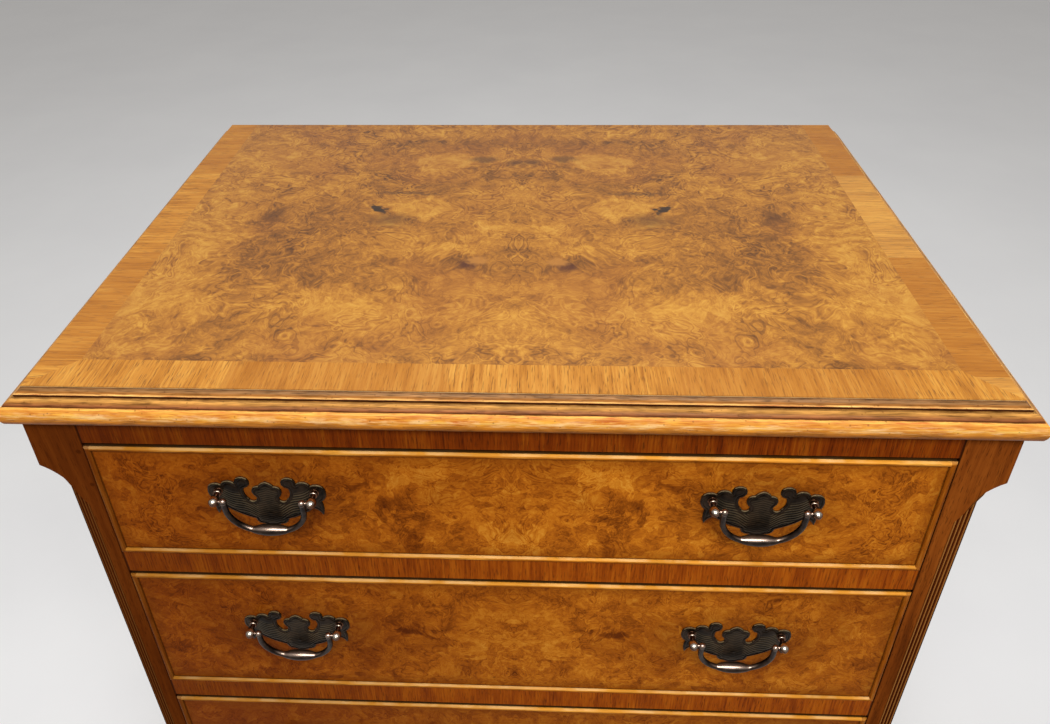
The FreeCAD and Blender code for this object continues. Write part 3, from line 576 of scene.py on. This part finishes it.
# Drawer fronts: burr walnut like the top, but cut from a tighter burr and stained redder.
# The leaves are matched on the middle of each drawer, and the veneer is darker along the beads and
# round the handles.
handle_offset = 0.1700
post_heights = {}
for number in drawer_numbers:
    low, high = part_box("drawer_%d_handle_posts" % number)
    post_heights[number] = (low.z + high.z) / 2
drawer_figures = {
    1: {"side_shade": 0.95, "lower_shade": 0.0,
        "shades": [(0.110, 0.690, 0.040, 0.020, 0.3, -0.06), (0.060, 0.700, 0.020, 0.024, 0.7, 0.08),
                   (0.072, 0.668, 0.016, 0.030, 0.2, -0.09), (0.000, 0.650, 0.020, 0.012, 0.7, 0.07)],
        "eyes": [(0.038, 0.672, 0.013, 5), (0.105, 0.664, 0.007, 2), (0.092, 0.706, 0.008, 2),
                 (0.150, 0.690, 0.008, 2)]},
    2: {"side_shade": 1.0, "lower_shade": 0.1,
        "shades": [(0.055, 0.565, 0.050, 0.026, 0.3, -0.05), (0.022, 0.548, 0.020, 0.030, 0.7, 0.06),
                   (0.085, 0.540, 0.012, 0.005, 0.6, -0.22)],
        "eyes": [(0.060, 0.520, 0.009, 3), (0.125, 0.560, 0.010, 4)]},
    3: {"side_shade": 1.0, "lower_shade": 0.4,
        "shades": [(0.060, 0.400, 0.014, 0.010, 0.7, -0.15), (0.120, 0.370, 0.050, 0.030, 0.7, -0.08)],
        "eyes": [(0.040, 0.360, 0.010, 2), (0.110, 0.410, 0.008, 2)]},
    4: {"side_shade": 0.9, "lower_shade": 0.4,
        "shades": [(0.045, 0.190, 0.016, 0.012, 0.7, -0.15), (0.150, 0.220, 0.050, 0.030, 0.7, 0.08)],
        "eyes": [(0.080, 0.240, 0.010, 3), (0.030, 0.150, 0.008, 2)]},
}


def darkened_by_bead(low, high):
    """A tint that darkens the veneer within a few millimetres of its edge."""
    def tint(tree, place, colour):
        away = add(tree, "VectorMath", {0: place, 1: (low + high) / 2}, operation="SUBTRACT")
        away = add(tree, "VectorMath", {0: away}, operation="ABSOLUTE")
        left = add(tree, "VectorMath", {0: (high - low) / 2, 1: away}, operation="SUBTRACT")
        parts = add(tree, "SeparateXYZ", {0: left}).outputs
        edge = add(tree, "Math", {0: parts["X"], 1: parts["Z"]}, operation="MINIMUM")
        colour = stained(tree, colour, "#6a3206", edge, 0.014, 0.0, 0.45, interpolation_type="SMOOTHSTEP")
        return stained(tree, colour, "#2a1204", edge, 0.0011, 0.0004, 0.6)
    return tint


burr_drawer_tones = ("#5a2906", "#82420a", "#a55911", "#b86915", "#ca7e21", "#d89333")
for number in drawer_numbers:
    node = "drawer_%d_burr_veneer" % number
    darker_round_handle = (handle_offset, post_heights[number] - 0.008, 0.050, 0.032, 0.6, "#4a2006", 0.4)
    figure = dict(drawer_figures[number], base=0.0, red="#6a2a03", stains=[darker_round_handle])
    dress([node], burr_walnut("polished_burr_walnut_drawer_%d" % number, burr_drawer_tones, figure, z_axis,
                              heart=post_heights[number], fleck=0.0035, cloud=0.05,
                              weights=(0.16, 0.34, 0.40, 0.11, 0.15, 0.22), gloss=0.01, coat=0.0,
                              tint=darkened_by_bead(*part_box(node))))


# Cock beads: thin strips of walnut, rounded on their front edge and let in round each drawer front.
# Their upper side is painted with a highlight and patchy glints, their underside and uprights with shade.
veneer_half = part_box("drawer_1_burr_veneer")[1].x
glint_patches_per_metre = 45.0


def on_upright(tree, place):
    """1 on the two upright strips, 0 on the others."""
    return add(tree, "Math", {0: from_middle(tree, place), 1: veneer_half}, operation="GREATER_THAN")


def upright_ends(tree, place):
    """The two upright strips take their grain along z."""
    return swapped_where(tree, place, on_upright(tree, place), "ZYX")


def painted_bead_light_and_shade(tree, place, colour):
    """Painted highlight and glints on the upper side, and painted shade below, on the uprights, toward the
    left and in the gap behind.
    """
    facing = add(tree, "NewGeometry", {}).outputs["Normal"]
    upward = add(tree, "SeparateXYZ", {0: facing}).outputs["Z"]
    depth = add(tree, "SeparateXYZ", {0: place}).outputs["Y"]
    patches = add(tree, "TexNoise", {"Vector": place, "Scale": glint_patches_per_metre, "Detail": 3.0})
    patches = add(tree, "MapRange", {"Value": patches, "From Min": 0.42, "From Max": 0.62})
    # Painted highlight on the upper side, with patchy glints
    colour = stained(tree, colour, "#f0a840", upward, 0.2, 0.5, 0.55)
    colour = stained(tree, colour, "#ffdca0", upward, 0.40, 0.62, 0.35, where=patches)
    # Painted shade on the underside and on the upright strips
    colour = stained(tree, colour, "#743806", upward, 0.12, -0.4, 0.7)
    colour = stained(tree, colour, "#7c3c08", on_upright(tree, place), 0.0, 1.0, 0.5)
    colour = painted_shade_to_left(tree, place, colour)
    # Painted shade in the gap behind the front face
    return stained(tree, colour, "#201006", depth, front_face - 0.0006, front_face + 0.0002, 0.96)


bead_tones = ("#6c3406", "#ae6212", "#e6a244")
bead_walnut = planed_wood("polished_cock_bead", x_axis, bead_tones, 0.0014, 0.28, gloss=0.01,
                          turn=upright_ends, tint=painted_bead_light_and_shade)
dress(["drawer_%d_cock_bead" % number for number in drawer_numbers], bead_walnut)


# Back plates: cast brass in the outline of a spread bat's wing, patinated almost black.
# The edge is eased and lines were chased along the wings and round the rim. A thin painted highlight
# lies on the rim where it turns upward, and the ridges between the lines are polished bright by handling.
plate_half_width = 0.0415
plate_height = 0.0465
plate_post_share = 0.725
plate_thickness = 0.0015
plate_start_shares = (0.0, 0.912)
plate_shares = [
    [(0.075, 0.88), (0.13, 0.825)],
    [(0.205, 0.805), (0.252, 0.73)],
    [(0.242, 0.665), (0.20, 0.61)],
    [(0.25, 0.515), (0.325, 0.56)],
    [(0.385, 0.66), (0.375, 0.785)],
    [(0.32, 0.99), (0.51, 0.865)],
    [(0.61, 0.925), (0.755, 0.845)],
    [(0.90, 0.865), (0.995, 0.735)],
    [(0.985, 0.62), (0.905, 0.53)],
    [(0.93, 0.38), (0.90, 0.235)],
    [(0.84, 0.33), (0.75, 0.385)],
    [(0.52, 0.235), (0.28, 0.14)],
    [(0.24, 0.06), (0.14, 0.03)],
    [(0.07, 0.0), (0.0, 0.0)],
]
plate_pitch = 0.0004
rim_width = 0.0011
rim_fall = 0.0006
rim_line_in = 0.0021
rim_line_width = 0.00045
line_depth = 0.0004
lines_from_rim = 0.0022
wing_line_pitch = 0.0023
wing_line_slope = 0.52
wing_line_waver = 0.0011
wing_line_waver_run = 0.0033
wing_lines_begin = 0.005
wing_lines_end = 0.034
wing_lines_top = -0.0105
crest_line_pitch = 0.0021
crest_line_slope = 0.35
crest_lines_half = 0.009
crest_line_strength = 0.4
ridge_wear = 0.22
boss_spot = complex(0, -0.021)
boss_radius = 0.0013
mottles_per_metre = 240.0
patches_per_metre = 60.0


def arc_points(first, way, last, count):
    """Points along the round arc from first to last by way of a third, first left out."""
    ratio = (last - first) / (way - first)
    centre = first + (way - first) * (ratio - abs(ratio) ** 2) / (2j * ratio.imag)
    turn = cmath.phase((last - centre) / (first - centre)) % (2 * math.pi)
    turn_to_way = cmath.phase((way - centre) / (first - centre)) % (2 * math.pi)
    if turn_to_way > turn:
        turn -= 2 * math.pi
    turns = [cmath.exp(1j * turn * step / count) for step in range(1, count + 1)]
    return [centre + (first - centre) * part for part in turns]


def plate_outline():
    """The outline as complex numbers, x across and z up from the posts."""
    def spot(shares):
        return complex(shares[0] * plate_half_width, (shares[1] - plate_post_share) * plate_height)
    half = [spot(plate_start_shares)]
    for way, end in plate_shares:
        half += arc_points(half[-1], spot(way), spot(end), 9)
    return np.array(half + [-point.conjugate() for point in reversed(half[1:-1])])


def nearest_on(outline, points):
    """For each point the nearest place on the outline and how far inside it the point lies."""
    best = np.full(points.shape, np.inf)
    place = np.zeros(points.shape, complex)
    inside = np.zeros(points.shape, bool)
    for start, end in zip(outline, np.roll(outline, -1)):
        way = end - start
        share = np.clip(((points - start) * np.conj(way)).real / abs(way) ** 2, 0, 1)
        foot = start + share * way
        distance = np.abs(points - foot)
        place = np.where(distance < best, foot, place)
        best = np.minimum(best, distance)
        if way.imag:
            crosses = (points.imag < start.imag) != (points.imag < end.imag)
            meets = start.real + (points.imag - start.imag) / way.imag * way.real
            inside ^= crosses & (points.real < meets)
    return place, np.where(inside, best, -best)


def smooth_step(value):
    """A soft step: 0 up to 0, 1 from 1 on, and an even curve between."""
    value = np.clip(value, 0, 1)
    return value * value * (3 - 2 * value)


def chased_lines(points, depth_inside):
    """The chased pattern, from -1 in the lines to 1 on the ridges between, and how strongly it shows."""
    x = np.abs(points.real)
    rise = points.imag - wing_line_slope * x + wing_line_waver * np.sin(x / wing_line_waver_run)
    clear_of_rim = smooth_step((depth_inside - lines_from_rim) / 0.001)
    on_wing = smooth_step((x - wing_lines_begin) / 0.004) * smooth_step((wing_lines_end - x) / 0.004)
    on_wing = on_wing * clear_of_rim * smooth_step((wing_lines_top - rise) / 0.003)
    on_crest = smooth_step((crest_lines_half - x) / 0.002) * clear_of_rim
    wing = np.cos(rise / wing_line_pitch * 2 * math.pi)
    feather = np.cos((points.imag + crest_line_slope * x) / crest_line_pitch * 2 * math.pi)
    shown = np.maximum(on_wing, crest_line_strength * on_crest)
    return np.where(on_wing > on_crest, wing, feather), shown


def plate_relief(points, depth_inside):
    """How far the face lies below the plate's front, by rim, lines and boss, and how polished its ridges
    are.
    """
    fall = rim_fall * (1 - smooth_step(depth_inside / rim_width))
    rim_line = np.exp(-((depth_inside - rim_line_in) / rim_line_width) ** 2)
    boss = np.exp(-(np.abs(points - boss_spot) / boss_radius) ** 2)
    pattern, shown = chased_lines(points, depth_inside)
    groove = shown * (0.5 - 0.5 * pattern) ** 2
    wear_and_highlight = ridge_wear * shown * (0.5 + 0.5 * pattern) ** 4
    return fall + line_depth * (rim_line + 0.5 * groove - 0.6 * boss), wear_and_highlight


def finished_mesh(form, name, sharp_angle=None):
    """The finished form as a mesh, shaded smooth but for edges sharper than an angle in degrees."""
    mesh = bpy.data.meshes.new(name)
    form.to_mesh(mesh)
    form.free()
    if sharp_angle:
        mesh.shade_smooth()
        mesh.set_sharp_from_angle(angle=math.radians(sharp_angle))
    return mesh


def plate_mesh():
    """A fine net of the face, drawn to the outline, with a rim down to the drawer and a flat back."""
    outline = plate_outline()
    columns = np.arange(-plate_half_width - plate_pitch, plate_half_width + 2 * plate_pitch, plate_pitch)
    rows = np.arange(outline.imag.min() - plate_pitch, outline.imag.max() + 2 * plate_pitch, plate_pitch)
    points = columns[None, :] + 1j * rows[:, None]
    foot, depth_inside = nearest_on(outline, points)
    kept = depth_inside > -0.35 * plate_pitch
    net = bmesh.new()
    wear_and_highlight = net.verts.layers.float.new("wear_and_highlight")
    corners = {}
    for row, column in zip(*np.nonzero(kept)):
        point = points[row, column]
        corners[row, column] = net.verts.new((point.real, 0, point.imag))
    for row, column in list(corners):
        ring = [(row, column), (row, column + 1), (row + 1, column + 1), (row + 1, column)]
        if all(corner in corners for corner in ring):
            net.faces.new([corners[corner] for corner in ring])
    loose = [vert for vert in net.verts if not vert.link_faces]
    bmesh.ops.delete(net, geom=loose, context="VERTS")
    edge_verts = {vert for edge in net.edges if edge.is_boundary for vert in edge.verts}
    for (row, column), vert in corners.items():
        if vert.is_valid and vert in edge_verts:
            vert.co.x = foot[row, column].real
            vert.co.z = foot[row, column].imag
    net_points = np.array([complex(vert.co.x, vert.co.z) for vert in net.verts])
    depth = nearest_on(outline, net_points)[1]
    drops, ridges = plate_relief(net_points, np.maximum(depth, 0))
    for vert, drop, ridge in zip(net.verts, drops, ridges):
        vert.co.y = drop - plate_thickness
        vert[wear_and_highlight] = ridge
    rim_edges = [edge for edge in net.edges if edge.is_boundary]
    front_verts = net.verts[:]
    behind = bmesh.ops.duplicate(net, geom=front_verts + net.edges[:] + net.faces[:])["vert_map"]
    for edge in rim_edges:
        first, second = edge.verts
        net.faces.new((first, second, behind[second], behind[first]))
    for vert in front_verts:
        behind[vert].co.y = 0
    bmesh.ops.recalc_face_normals(net, faces=net.faces)
    net.normal_update()
    for vert in front_verts:
        # Painted highlight: the rim is marked bright where it faces upward
        vert[wear_and_highlight] = max(vert[wear_and_highlight], float(smooth_step((vert.normal.z - 0.40) / 0.35)))
    return finished_mesh(net, "back_plate", sharp_angle=50)


def metal_with_wear_and_highlight(name, patina, rubbed_and_lit, roughness):
    """Metal under a dark, mottled patina, bright where the mesh marks rubbing and painted highlight."""
    material, tree, shader, place = new_material(name)
    mottle = add(tree, "TexNoise", {"Vector": place, "Scale": mottles_per_metre, "Detail": 4.0,
                                    "Roughness": 0.6})
    patches = add(tree, "TexNoise", {"Vector": place, "Scale": patches_per_metre, "Detail": 2.0})
    level = add(tree, "Mix", {0: 0.5, 2: mottle, 3: patches})
    colour = add(tree, "ValToRGB", {"Fac": level}, stops=[(0.38, patina[0]), (0.62, patina[1])])
    wear_and_highlight = add(tree, "Attribute", {}, attribute_name="wear_and_highlight").outputs["Fac"]
    patchy = add(tree, "MapRange", {"Value": level, "From Min": 0.3, "From Max": 0.55, "To Min": 0.6})
    wear_and_highlight = add(tree, "Math", {0: wear_and_highlight, 1: patchy}, operation="MULTIPLY")
    smoother = add(tree, "Math", {0: wear_and_highlight, 1: -0.14, 2: roughness}, operation="MULTIPLY_ADD")
    dullness = add(tree, "Math", {0: mottle, 1: 0.12, 2: smoother}, operation="MULTIPLY_ADD")
    bump = add(tree, "Bump", {"Height": mottle, "Strength": 0.1, "Distance": 0.0002})
    feed(tree, shader, {"Base Color": laid_over(tree, colour, rubbed_and_lit, wear_and_highlight), "Roughness": dullness,
                        "Normal": bump, "Metallic": 1.0})
    return material


def mark_wear_and_highlight(mesh, brightness_share):
    """Keep at each point of a mesh how bright it is from rubbing and painted highlight, from 0 to 1."""
    wear_and_highlight = mesh.attributes.new("wear_and_highlight", "FLOAT", "POINT")
    for vert in mesh.vertices:
        wear_and_highlight.data[vert.index].value = brightness_share(vert.co, vert.normal)


def piece(name, mesh, material, body, replaced, place):
    """Put a mesh in the scene as a named piece that stands for a node and moves with its body."""
    thing = bpy.data.objects.new(name, mesh)
    thing.location = place
    if not mesh.materials:
        mesh.materials.append(material)
    bpy.context.scene.collection.objects.link(thing)
    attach(thing, body)
    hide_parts(replaced)


plate_brass = metal_with_wear_and_highlight("patinated_brass_plate", ("#17110c", "#32251a"), "#c2ab7e", 0.40)
back_plate = plate_mesh()
handle_sides = {"right": 1, "left": -1}
handles = [(number, side, sign) for number in drawer_numbers for side, sign in handle_sides.items()]
for number, side, sign in handles:
    piece("drawer_%d_back_plate_%s" % (number, side), back_plate, plate_brass, "drawer_%d" % number,
          "drawer_%d_back_plates" % number,
          (sign * handle_offset, front_face, post_heights[number]))


# Handle posts: turned brass with a flange, a collar and a round head, held by a nut inside the drawer.
# Heads and collars are bright on their upper, front side, as painted highlight over finger rubbing.
post_reach = 0.0337
flange_front = 0.0022
neck_radius = 0.0019
head_start = 0.0070
head_radius = 0.0036
head_distance = 0.0113
head_end = 0.0156


def turned(profile, segments, sharp_angle=None):
    """A turned form about the y axis: profile points are radius and distance in front of the drawer."""
    form = bmesh.new()
    ring = [form.verts.new((radius, -distance, 0)) for radius, distance in profile]
    edges = [form.edges.new(pair) for pair in zip(ring, ring[1:])]
    bmesh.ops.spin(form, geom=ring + edges, cent=(0, 0, 0), axis=(0, 1, 0), angle=2 * math.pi,
                   steps=segments, use_merge=True)
    bmesh.ops.remove_doubles(form, verts=form.verts, dist=1e-6)
    bmesh.ops.recalc_face_normals(form, faces=form.faces)
    return finished_mesh(form, "turned", sharp_angle)


def head_profile():
    """The round head, from its neck to its tip."""
    neck = complex(neck_radius, head_start)
    points = arc_points(neck, complex(head_radius, head_distance), complex(0, head_end), 12)
    return [(max(point.real, 0), point.imag) for point in points]


def post_wear_and_highlight(point, facing):
    """The collar and the head are bright on their upper, front side, as painted highlight over finger
    rubbing; the flange and the neck stay dark.
    """
    on_flange = -flange_front < point.y
    on_neck = math.hypot(point.x, point.z) < neck_radius + 0.0002 and -head_start - 0.0005 < point.y
    turned_back = smooth_step((facing.y - 0.05) / 0.3)
    # Painted highlight over finger rubbing, on faces that turn upward and not back
    rubbed_and_lit = smooth_step((facing.z - 0.30) / 0.5) * (1 - turned_back)
    return 0.0 if on_flange or on_neck else float(rubbed_and_lit)


post_profile = [(0, -0.0252), (0.0020, -0.0252), (0.0020, 0.0015), (0.0034, 0.0015), (0.0034, 0.0018),
                (0.0031, 0.0021), (0.0020, 0.0021), (neck_radius, 0.0024), (neck_radius, 0.0025),
                (0.0026, 0.0026), (0.0029, 0.0030), (0.0029, 0.0042), (0.0026, 0.0046),
                (neck_radius, 0.0047), (neck_radius, head_start)] + head_profile()
nut_profile = [(0.0020, -0.0200), (0.0040, -0.0200), (0.0040, -0.0228), (0.0036, -0.0232),
               (0.0020, -0.0232)]
rubbed_and_highlit_brass = metal_with_wear_and_highlight("rubbed_and_highlit_brass_post", ("#2a1c14", "#6b4632"), "#d9cdb9", 0.26)
post_mesh = turned(post_profile, 32, sharp_angle=48)
mark_wear_and_highlight(post_mesh, post_wear_and_highlight)
nut_mesh = turned(nut_profile, 6)
for number, side, sign in handles:
    for hand, reach in (("inner", -sign * post_reach), ("outer", sign * post_reach)):
        spot = (sign * handle_offset + reach, front_face, post_heights[number])
        for kind, mesh in (("post", post_mesh), ("nut", nut_mesh)):
            piece("drawer_%d_%s_%s_%s" % (number, kind, side, hand), mesh, rubbed_and_highlit_brass,
                  "drawer_%d" % number, "drawer_%d_handle_posts" % number, spot)


# Bails: swan-neck drops of round brass that hang from pins in the post heads and swell at the grip.
# The grip's upper side is painted bright as a highlight over rubbing, and the arms stay dark.
knuckle_x = 0.02725
pin_end_x = 0.03475
bail_radius = 0.0021
knuckle_radius = 0.0025
pin_radius = 0.0012
neck_length = 0.009
arm_radius = 0.023
arm_sweep = math.radians(62)
shoulder_radius = 0.012
grip_radius = 0.0042
grip_half_length = 0.013
grip_below = 0.03
grip_highlight_half = 0.027
grip_highlight_below = 0.022
hang_angle = math.radians(6)
neck_steps = 4
arm_steps = 16
shoulder_steps = 8
grip_steps = 12
bar_sides = 20


def bail_path():
    """Points of the right half from the knuckle to the middle of the grip, in the plane of the bail."""
    neck = [complex(knuckle_x, -neck_length * step / neck_steps) for step in range(neck_steps + 1)]
    arm_centre = complex(knuckle_x - arm_radius, -neck_length)
    arm = [arm_centre + arm_radius * cmath.exp(-1j * arm_sweep * step / arm_steps)
           for step in range(1, arm_steps + 1)]
    turn = math.pi / 2 - arm_sweep
    shoulder_centre = arm[-1] - shoulder_radius * cmath.exp(-1j * arm_sweep)
    shoulder_turns = [arm_sweep + turn * step / shoulder_steps for step in range(1, shoulder_steps + 1)]
    shoulder = [shoulder_centre + shoulder_radius * cmath.exp(-1j * angle) for angle in shoulder_turns]
    grip = [complex(shoulder[-1].real * (1 - step / grip_steps), shoulder[-1].imag)
            for step in range(1, grip_steps + 1)]
    return neck + arm + shoulder + grip


def bail_mesh():
    """A round bar along the path, fuller at the grip, with a ball and a pin at each end."""
    half = bail_path()
    path = half + [-point.conjugate() for point in reversed(half[:-1])]
    form = bmesh.new()
    rings = []
    for number, point in enumerate(path):
        before = path[max(number - 1, 0)]
        after = path[min(number + 1, len(path) - 1)]
        across = 1j * (after - before) / abs(after - before)
        swell = max(0, 1 - (point.real / grip_half_length) ** 2) if point.imag < -grip_below else 0
        radius = bail_radius + (grip_radius - bail_radius) * swell
        ring = []
        for side in range(bar_sides):
            angle = 2 * math.pi * side / bar_sides
            spot = point + across * radius * math.cos(angle)
            ring.append(form.verts.new((spot.real, -head_distance + radius * math.sin(angle), spot.imag)))
        rings.append(ring)
    for first, second in zip(rings, rings[1:]):
        for side in range(bar_sides):
            after = (side + 1) % bar_sides
            form.faces.new((first[side], first[after], second[after], second[side]))
    for ring in (rings[0], rings[-1]):
        form.faces.new(ring)
    for sign in (1, -1):
        ball = Matrix.Translation((sign * knuckle_x, -head_distance, 0))
        bmesh.ops.create_uvsphere(form, u_segments=20, v_segments=12, radius=knuckle_radius, matrix=ball)
        pin = Matrix.Translation((sign * (knuckle_x + pin_end_x) / 2, -head_distance, 0))
        bmesh.ops.create_cone(form, cap_ends=True, segments=16, radius1=pin_radius, radius2=pin_radius,
                              depth=pin_end_x - knuckle_x,
                              matrix=pin @ Matrix.Rotation(math.pi / 2, 4, "Y"))
    hang = Matrix.Rotation(hang_angle, 3, "X")
    bmesh.ops.rotate(form, cent=(0, -head_distance, 0), matrix=hang, verts=form.verts)
    bmesh.ops.recalc_face_normals(form, faces=form.faces)
    return finished_mesh(form, "bail", sharp_angle=50)


def bail_wear_and_highlight(point, facing):
    """A painted highlight over rubbing on top of the grip, and on top of the knuckles where the posts rub.
    """
    on_grip = smooth_step((grip_highlight_half - abs(point.x)) / 0.012)
    on_grip = on_grip * smooth_step((-grip_highlight_below - point.z) / 0.008)
    on_knuckle = smooth_step((abs(point.x) - knuckle_x + 0.003) / 0.001)
    on_knuckle = on_knuckle * smooth_step((point.z + 0.003) / 0.002)
    # Painted highlight on the grip's upper side
    grip_highlight = on_grip * smooth_step((facing.z - 0.45) / 0.3)
    return float(max(grip_highlight, on_knuckle * smooth_step(facing.z / 0.5)))


bail_brass = metal_with_wear_and_highlight("worn_and_highlit_brass_bail", ("#1d1714", "#40332b"), "#b59c8a", 0.34)
bail_form = bail_mesh()
mark_wear_and_highlight(bail_form, bail_wear_and_highlight)
for number, side, sign in handles:
    body = "drawer_%d_bail_%s" % (number, side)
    piece(body + "_swan_neck", bail_form, bail_brass, body, body,
          (sign * handle_offset, front_face, post_heights[number]))


# Back screws: slotted steel wood screws, driven flush with the back panel.
# The steel has gone dull and grey, with a low, broken shine.
screw_steel = metal_with_wear_and_highlight("dull_steel_screw", ("#55534f", "#8a8782"), "#9a9793", 0.45)
dress(["back_screws"], screw_steel)


# Stage: a plain pale floor under a plain pale surround, a soft lamp overhead and another in front.
# Floor and surround glow a little for the eye and for mirror images only, so they stay pale without
# lighting the chest.
floor_half = 8
floor_glow = 0.27
surround_glow = 0.26
surround_light = 0.16


def seen_by_eye(tree):
    """1 for rays from the camera, mirror images and rays through glass, and 0 for falling light."""
    ray = add(tree, "LightPath", {}).outputs
    seen = add(tree, "Math", {0: ray["Is Camera Ray"], 1: ray["Is Glossy Ray"]}, operation="ADD")
    return add(tree, "Math", {0: seen, 1: ray["Is Transmission Ray"]}, operation="ADD")


floor_mesh = bpy.data.meshes.new("floor")
floor_corners = [(x * floor_half, y * floor_half, 0) for x, y in ((-1, -1), (1, -1), (1, 1), (-1, 1))]
floor_mesh.from_pydata(floor_corners, [], [(0, 1, 2, 3)])
floor = bpy.data.objects.new("floor", floor_mesh)
bpy.context.scene.collection.objects.link(floor)
floor_paint, tree, shader, place = new_material("matt_studio_floor")
specks = add(tree, "TexNoise", {"Vector": place, "Scale": 3.0, "Detail": 4.0})
colour = add(tree, "ValToRGB", {"Fac": specks}, stops=[(0.3, "#d3d4d6"), (0.7, "#dadbdc")])
glow = add(tree, "Math", {0: seen_by_eye(tree), 1: floor_glow}, operation="MULTIPLY")
feed(tree, shader, {"Base Color": colour, "Roughness": 0.9, "Emission Strength": glow,
                    "Emission Color": linear_colour("#f4efe8")})
floor_mesh.materials.append(floor_paint)

world = bpy.data.worlds.new("studio")
bpy.context.scene.world = world
world.use_nodes = True
sky = world.node_tree
strength = add(sky, "Math", {0: seen_by_eye(sky), 1: surround_glow, 2: surround_light},
               operation="MULTIPLY_ADD")
feed(sky, sky.nodes["Background"], {"Color": linear_colour("#f2f1f4"), "Strength": strength})


def lamp(name, place, aim, width, depth, watts):
    """A rectangular soft lamp that faces a point."""
    data = bpy.data.lights.new(name, "AREA")
    data.shape = "RECTANGLE"
    data.size = width
    data.size_y = depth
    data.energy = watts
    thing = bpy.data.objects.new(name, data)
    thing.location = place
    thing.rotation_euler = (Vector(aim) - Vector(place)).to_track_quat("-Z", "Y").to_euler()
    thing.visible_camera = False
    bpy.context.scene.collection.objects.link(thing)


lamp("overhead", place=(-0.2, 0.8, 2.9), aim=(0, 0, 0.7), width=1.8, depth=1.0, watts=27)
lamp("front", place=(0.1, -1.25, 2.0), aim=(0.05, -0.2, 0.65), width=1.5, depth=0.6, watts=38)


# Camera: the photograph was taken standing, a little right of the middle, looking down on the top.
# The picture was cropped, so the lens axis lies above its middle, which the shift makes good.
photo_width_px = 1050
photo_height_px = 724
focal_length_px = 853.06
axis_px = (505.81, 263.88)
eye = Vector((0.02156, front_face - 0.41391, 1.13817))
yaw = math.radians(-3.0554)
pitch = math.radians(31.656)
roll = math.radians(-1.1642)
forward = Vector((math.sin(yaw) * math.cos(pitch), math.cos(yaw) * math.cos(pitch), -math.sin(pitch)))
level_right = Vector((math.cos(yaw), -math.sin(yaw), 0))
level_up = level_right.cross(forward)
camera_right = math.cos(roll) * level_right + math.sin(roll) * level_up
camera_up = math.cos(roll) * level_up - math.sin(roll) * level_right
camera_data = bpy.data.cameras.new("camera")
camera_data.sensor_width = 36.0
camera_data.lens = focal_length_px / photo_width_px * camera_data.sensor_width
camera_data.shift_x = (photo_width_px / 2 - axis_px[0]) / photo_width_px
camera_data.shift_y = (axis_px[1] - photo_height_px / 2) / photo_width_px
camera = bpy.data.objects.new("camera", camera_data)
turn = Matrix((camera_right, camera_up, -forward)).transposed()
camera.matrix_world = Matrix.Translation(eye) @ turn.to_4x4()
bpy.context.scene.collection.objects.link(camera)
bpy.context.scene.camera = camera
bpy.context.scene.view_settings.view_transform = "Standard"
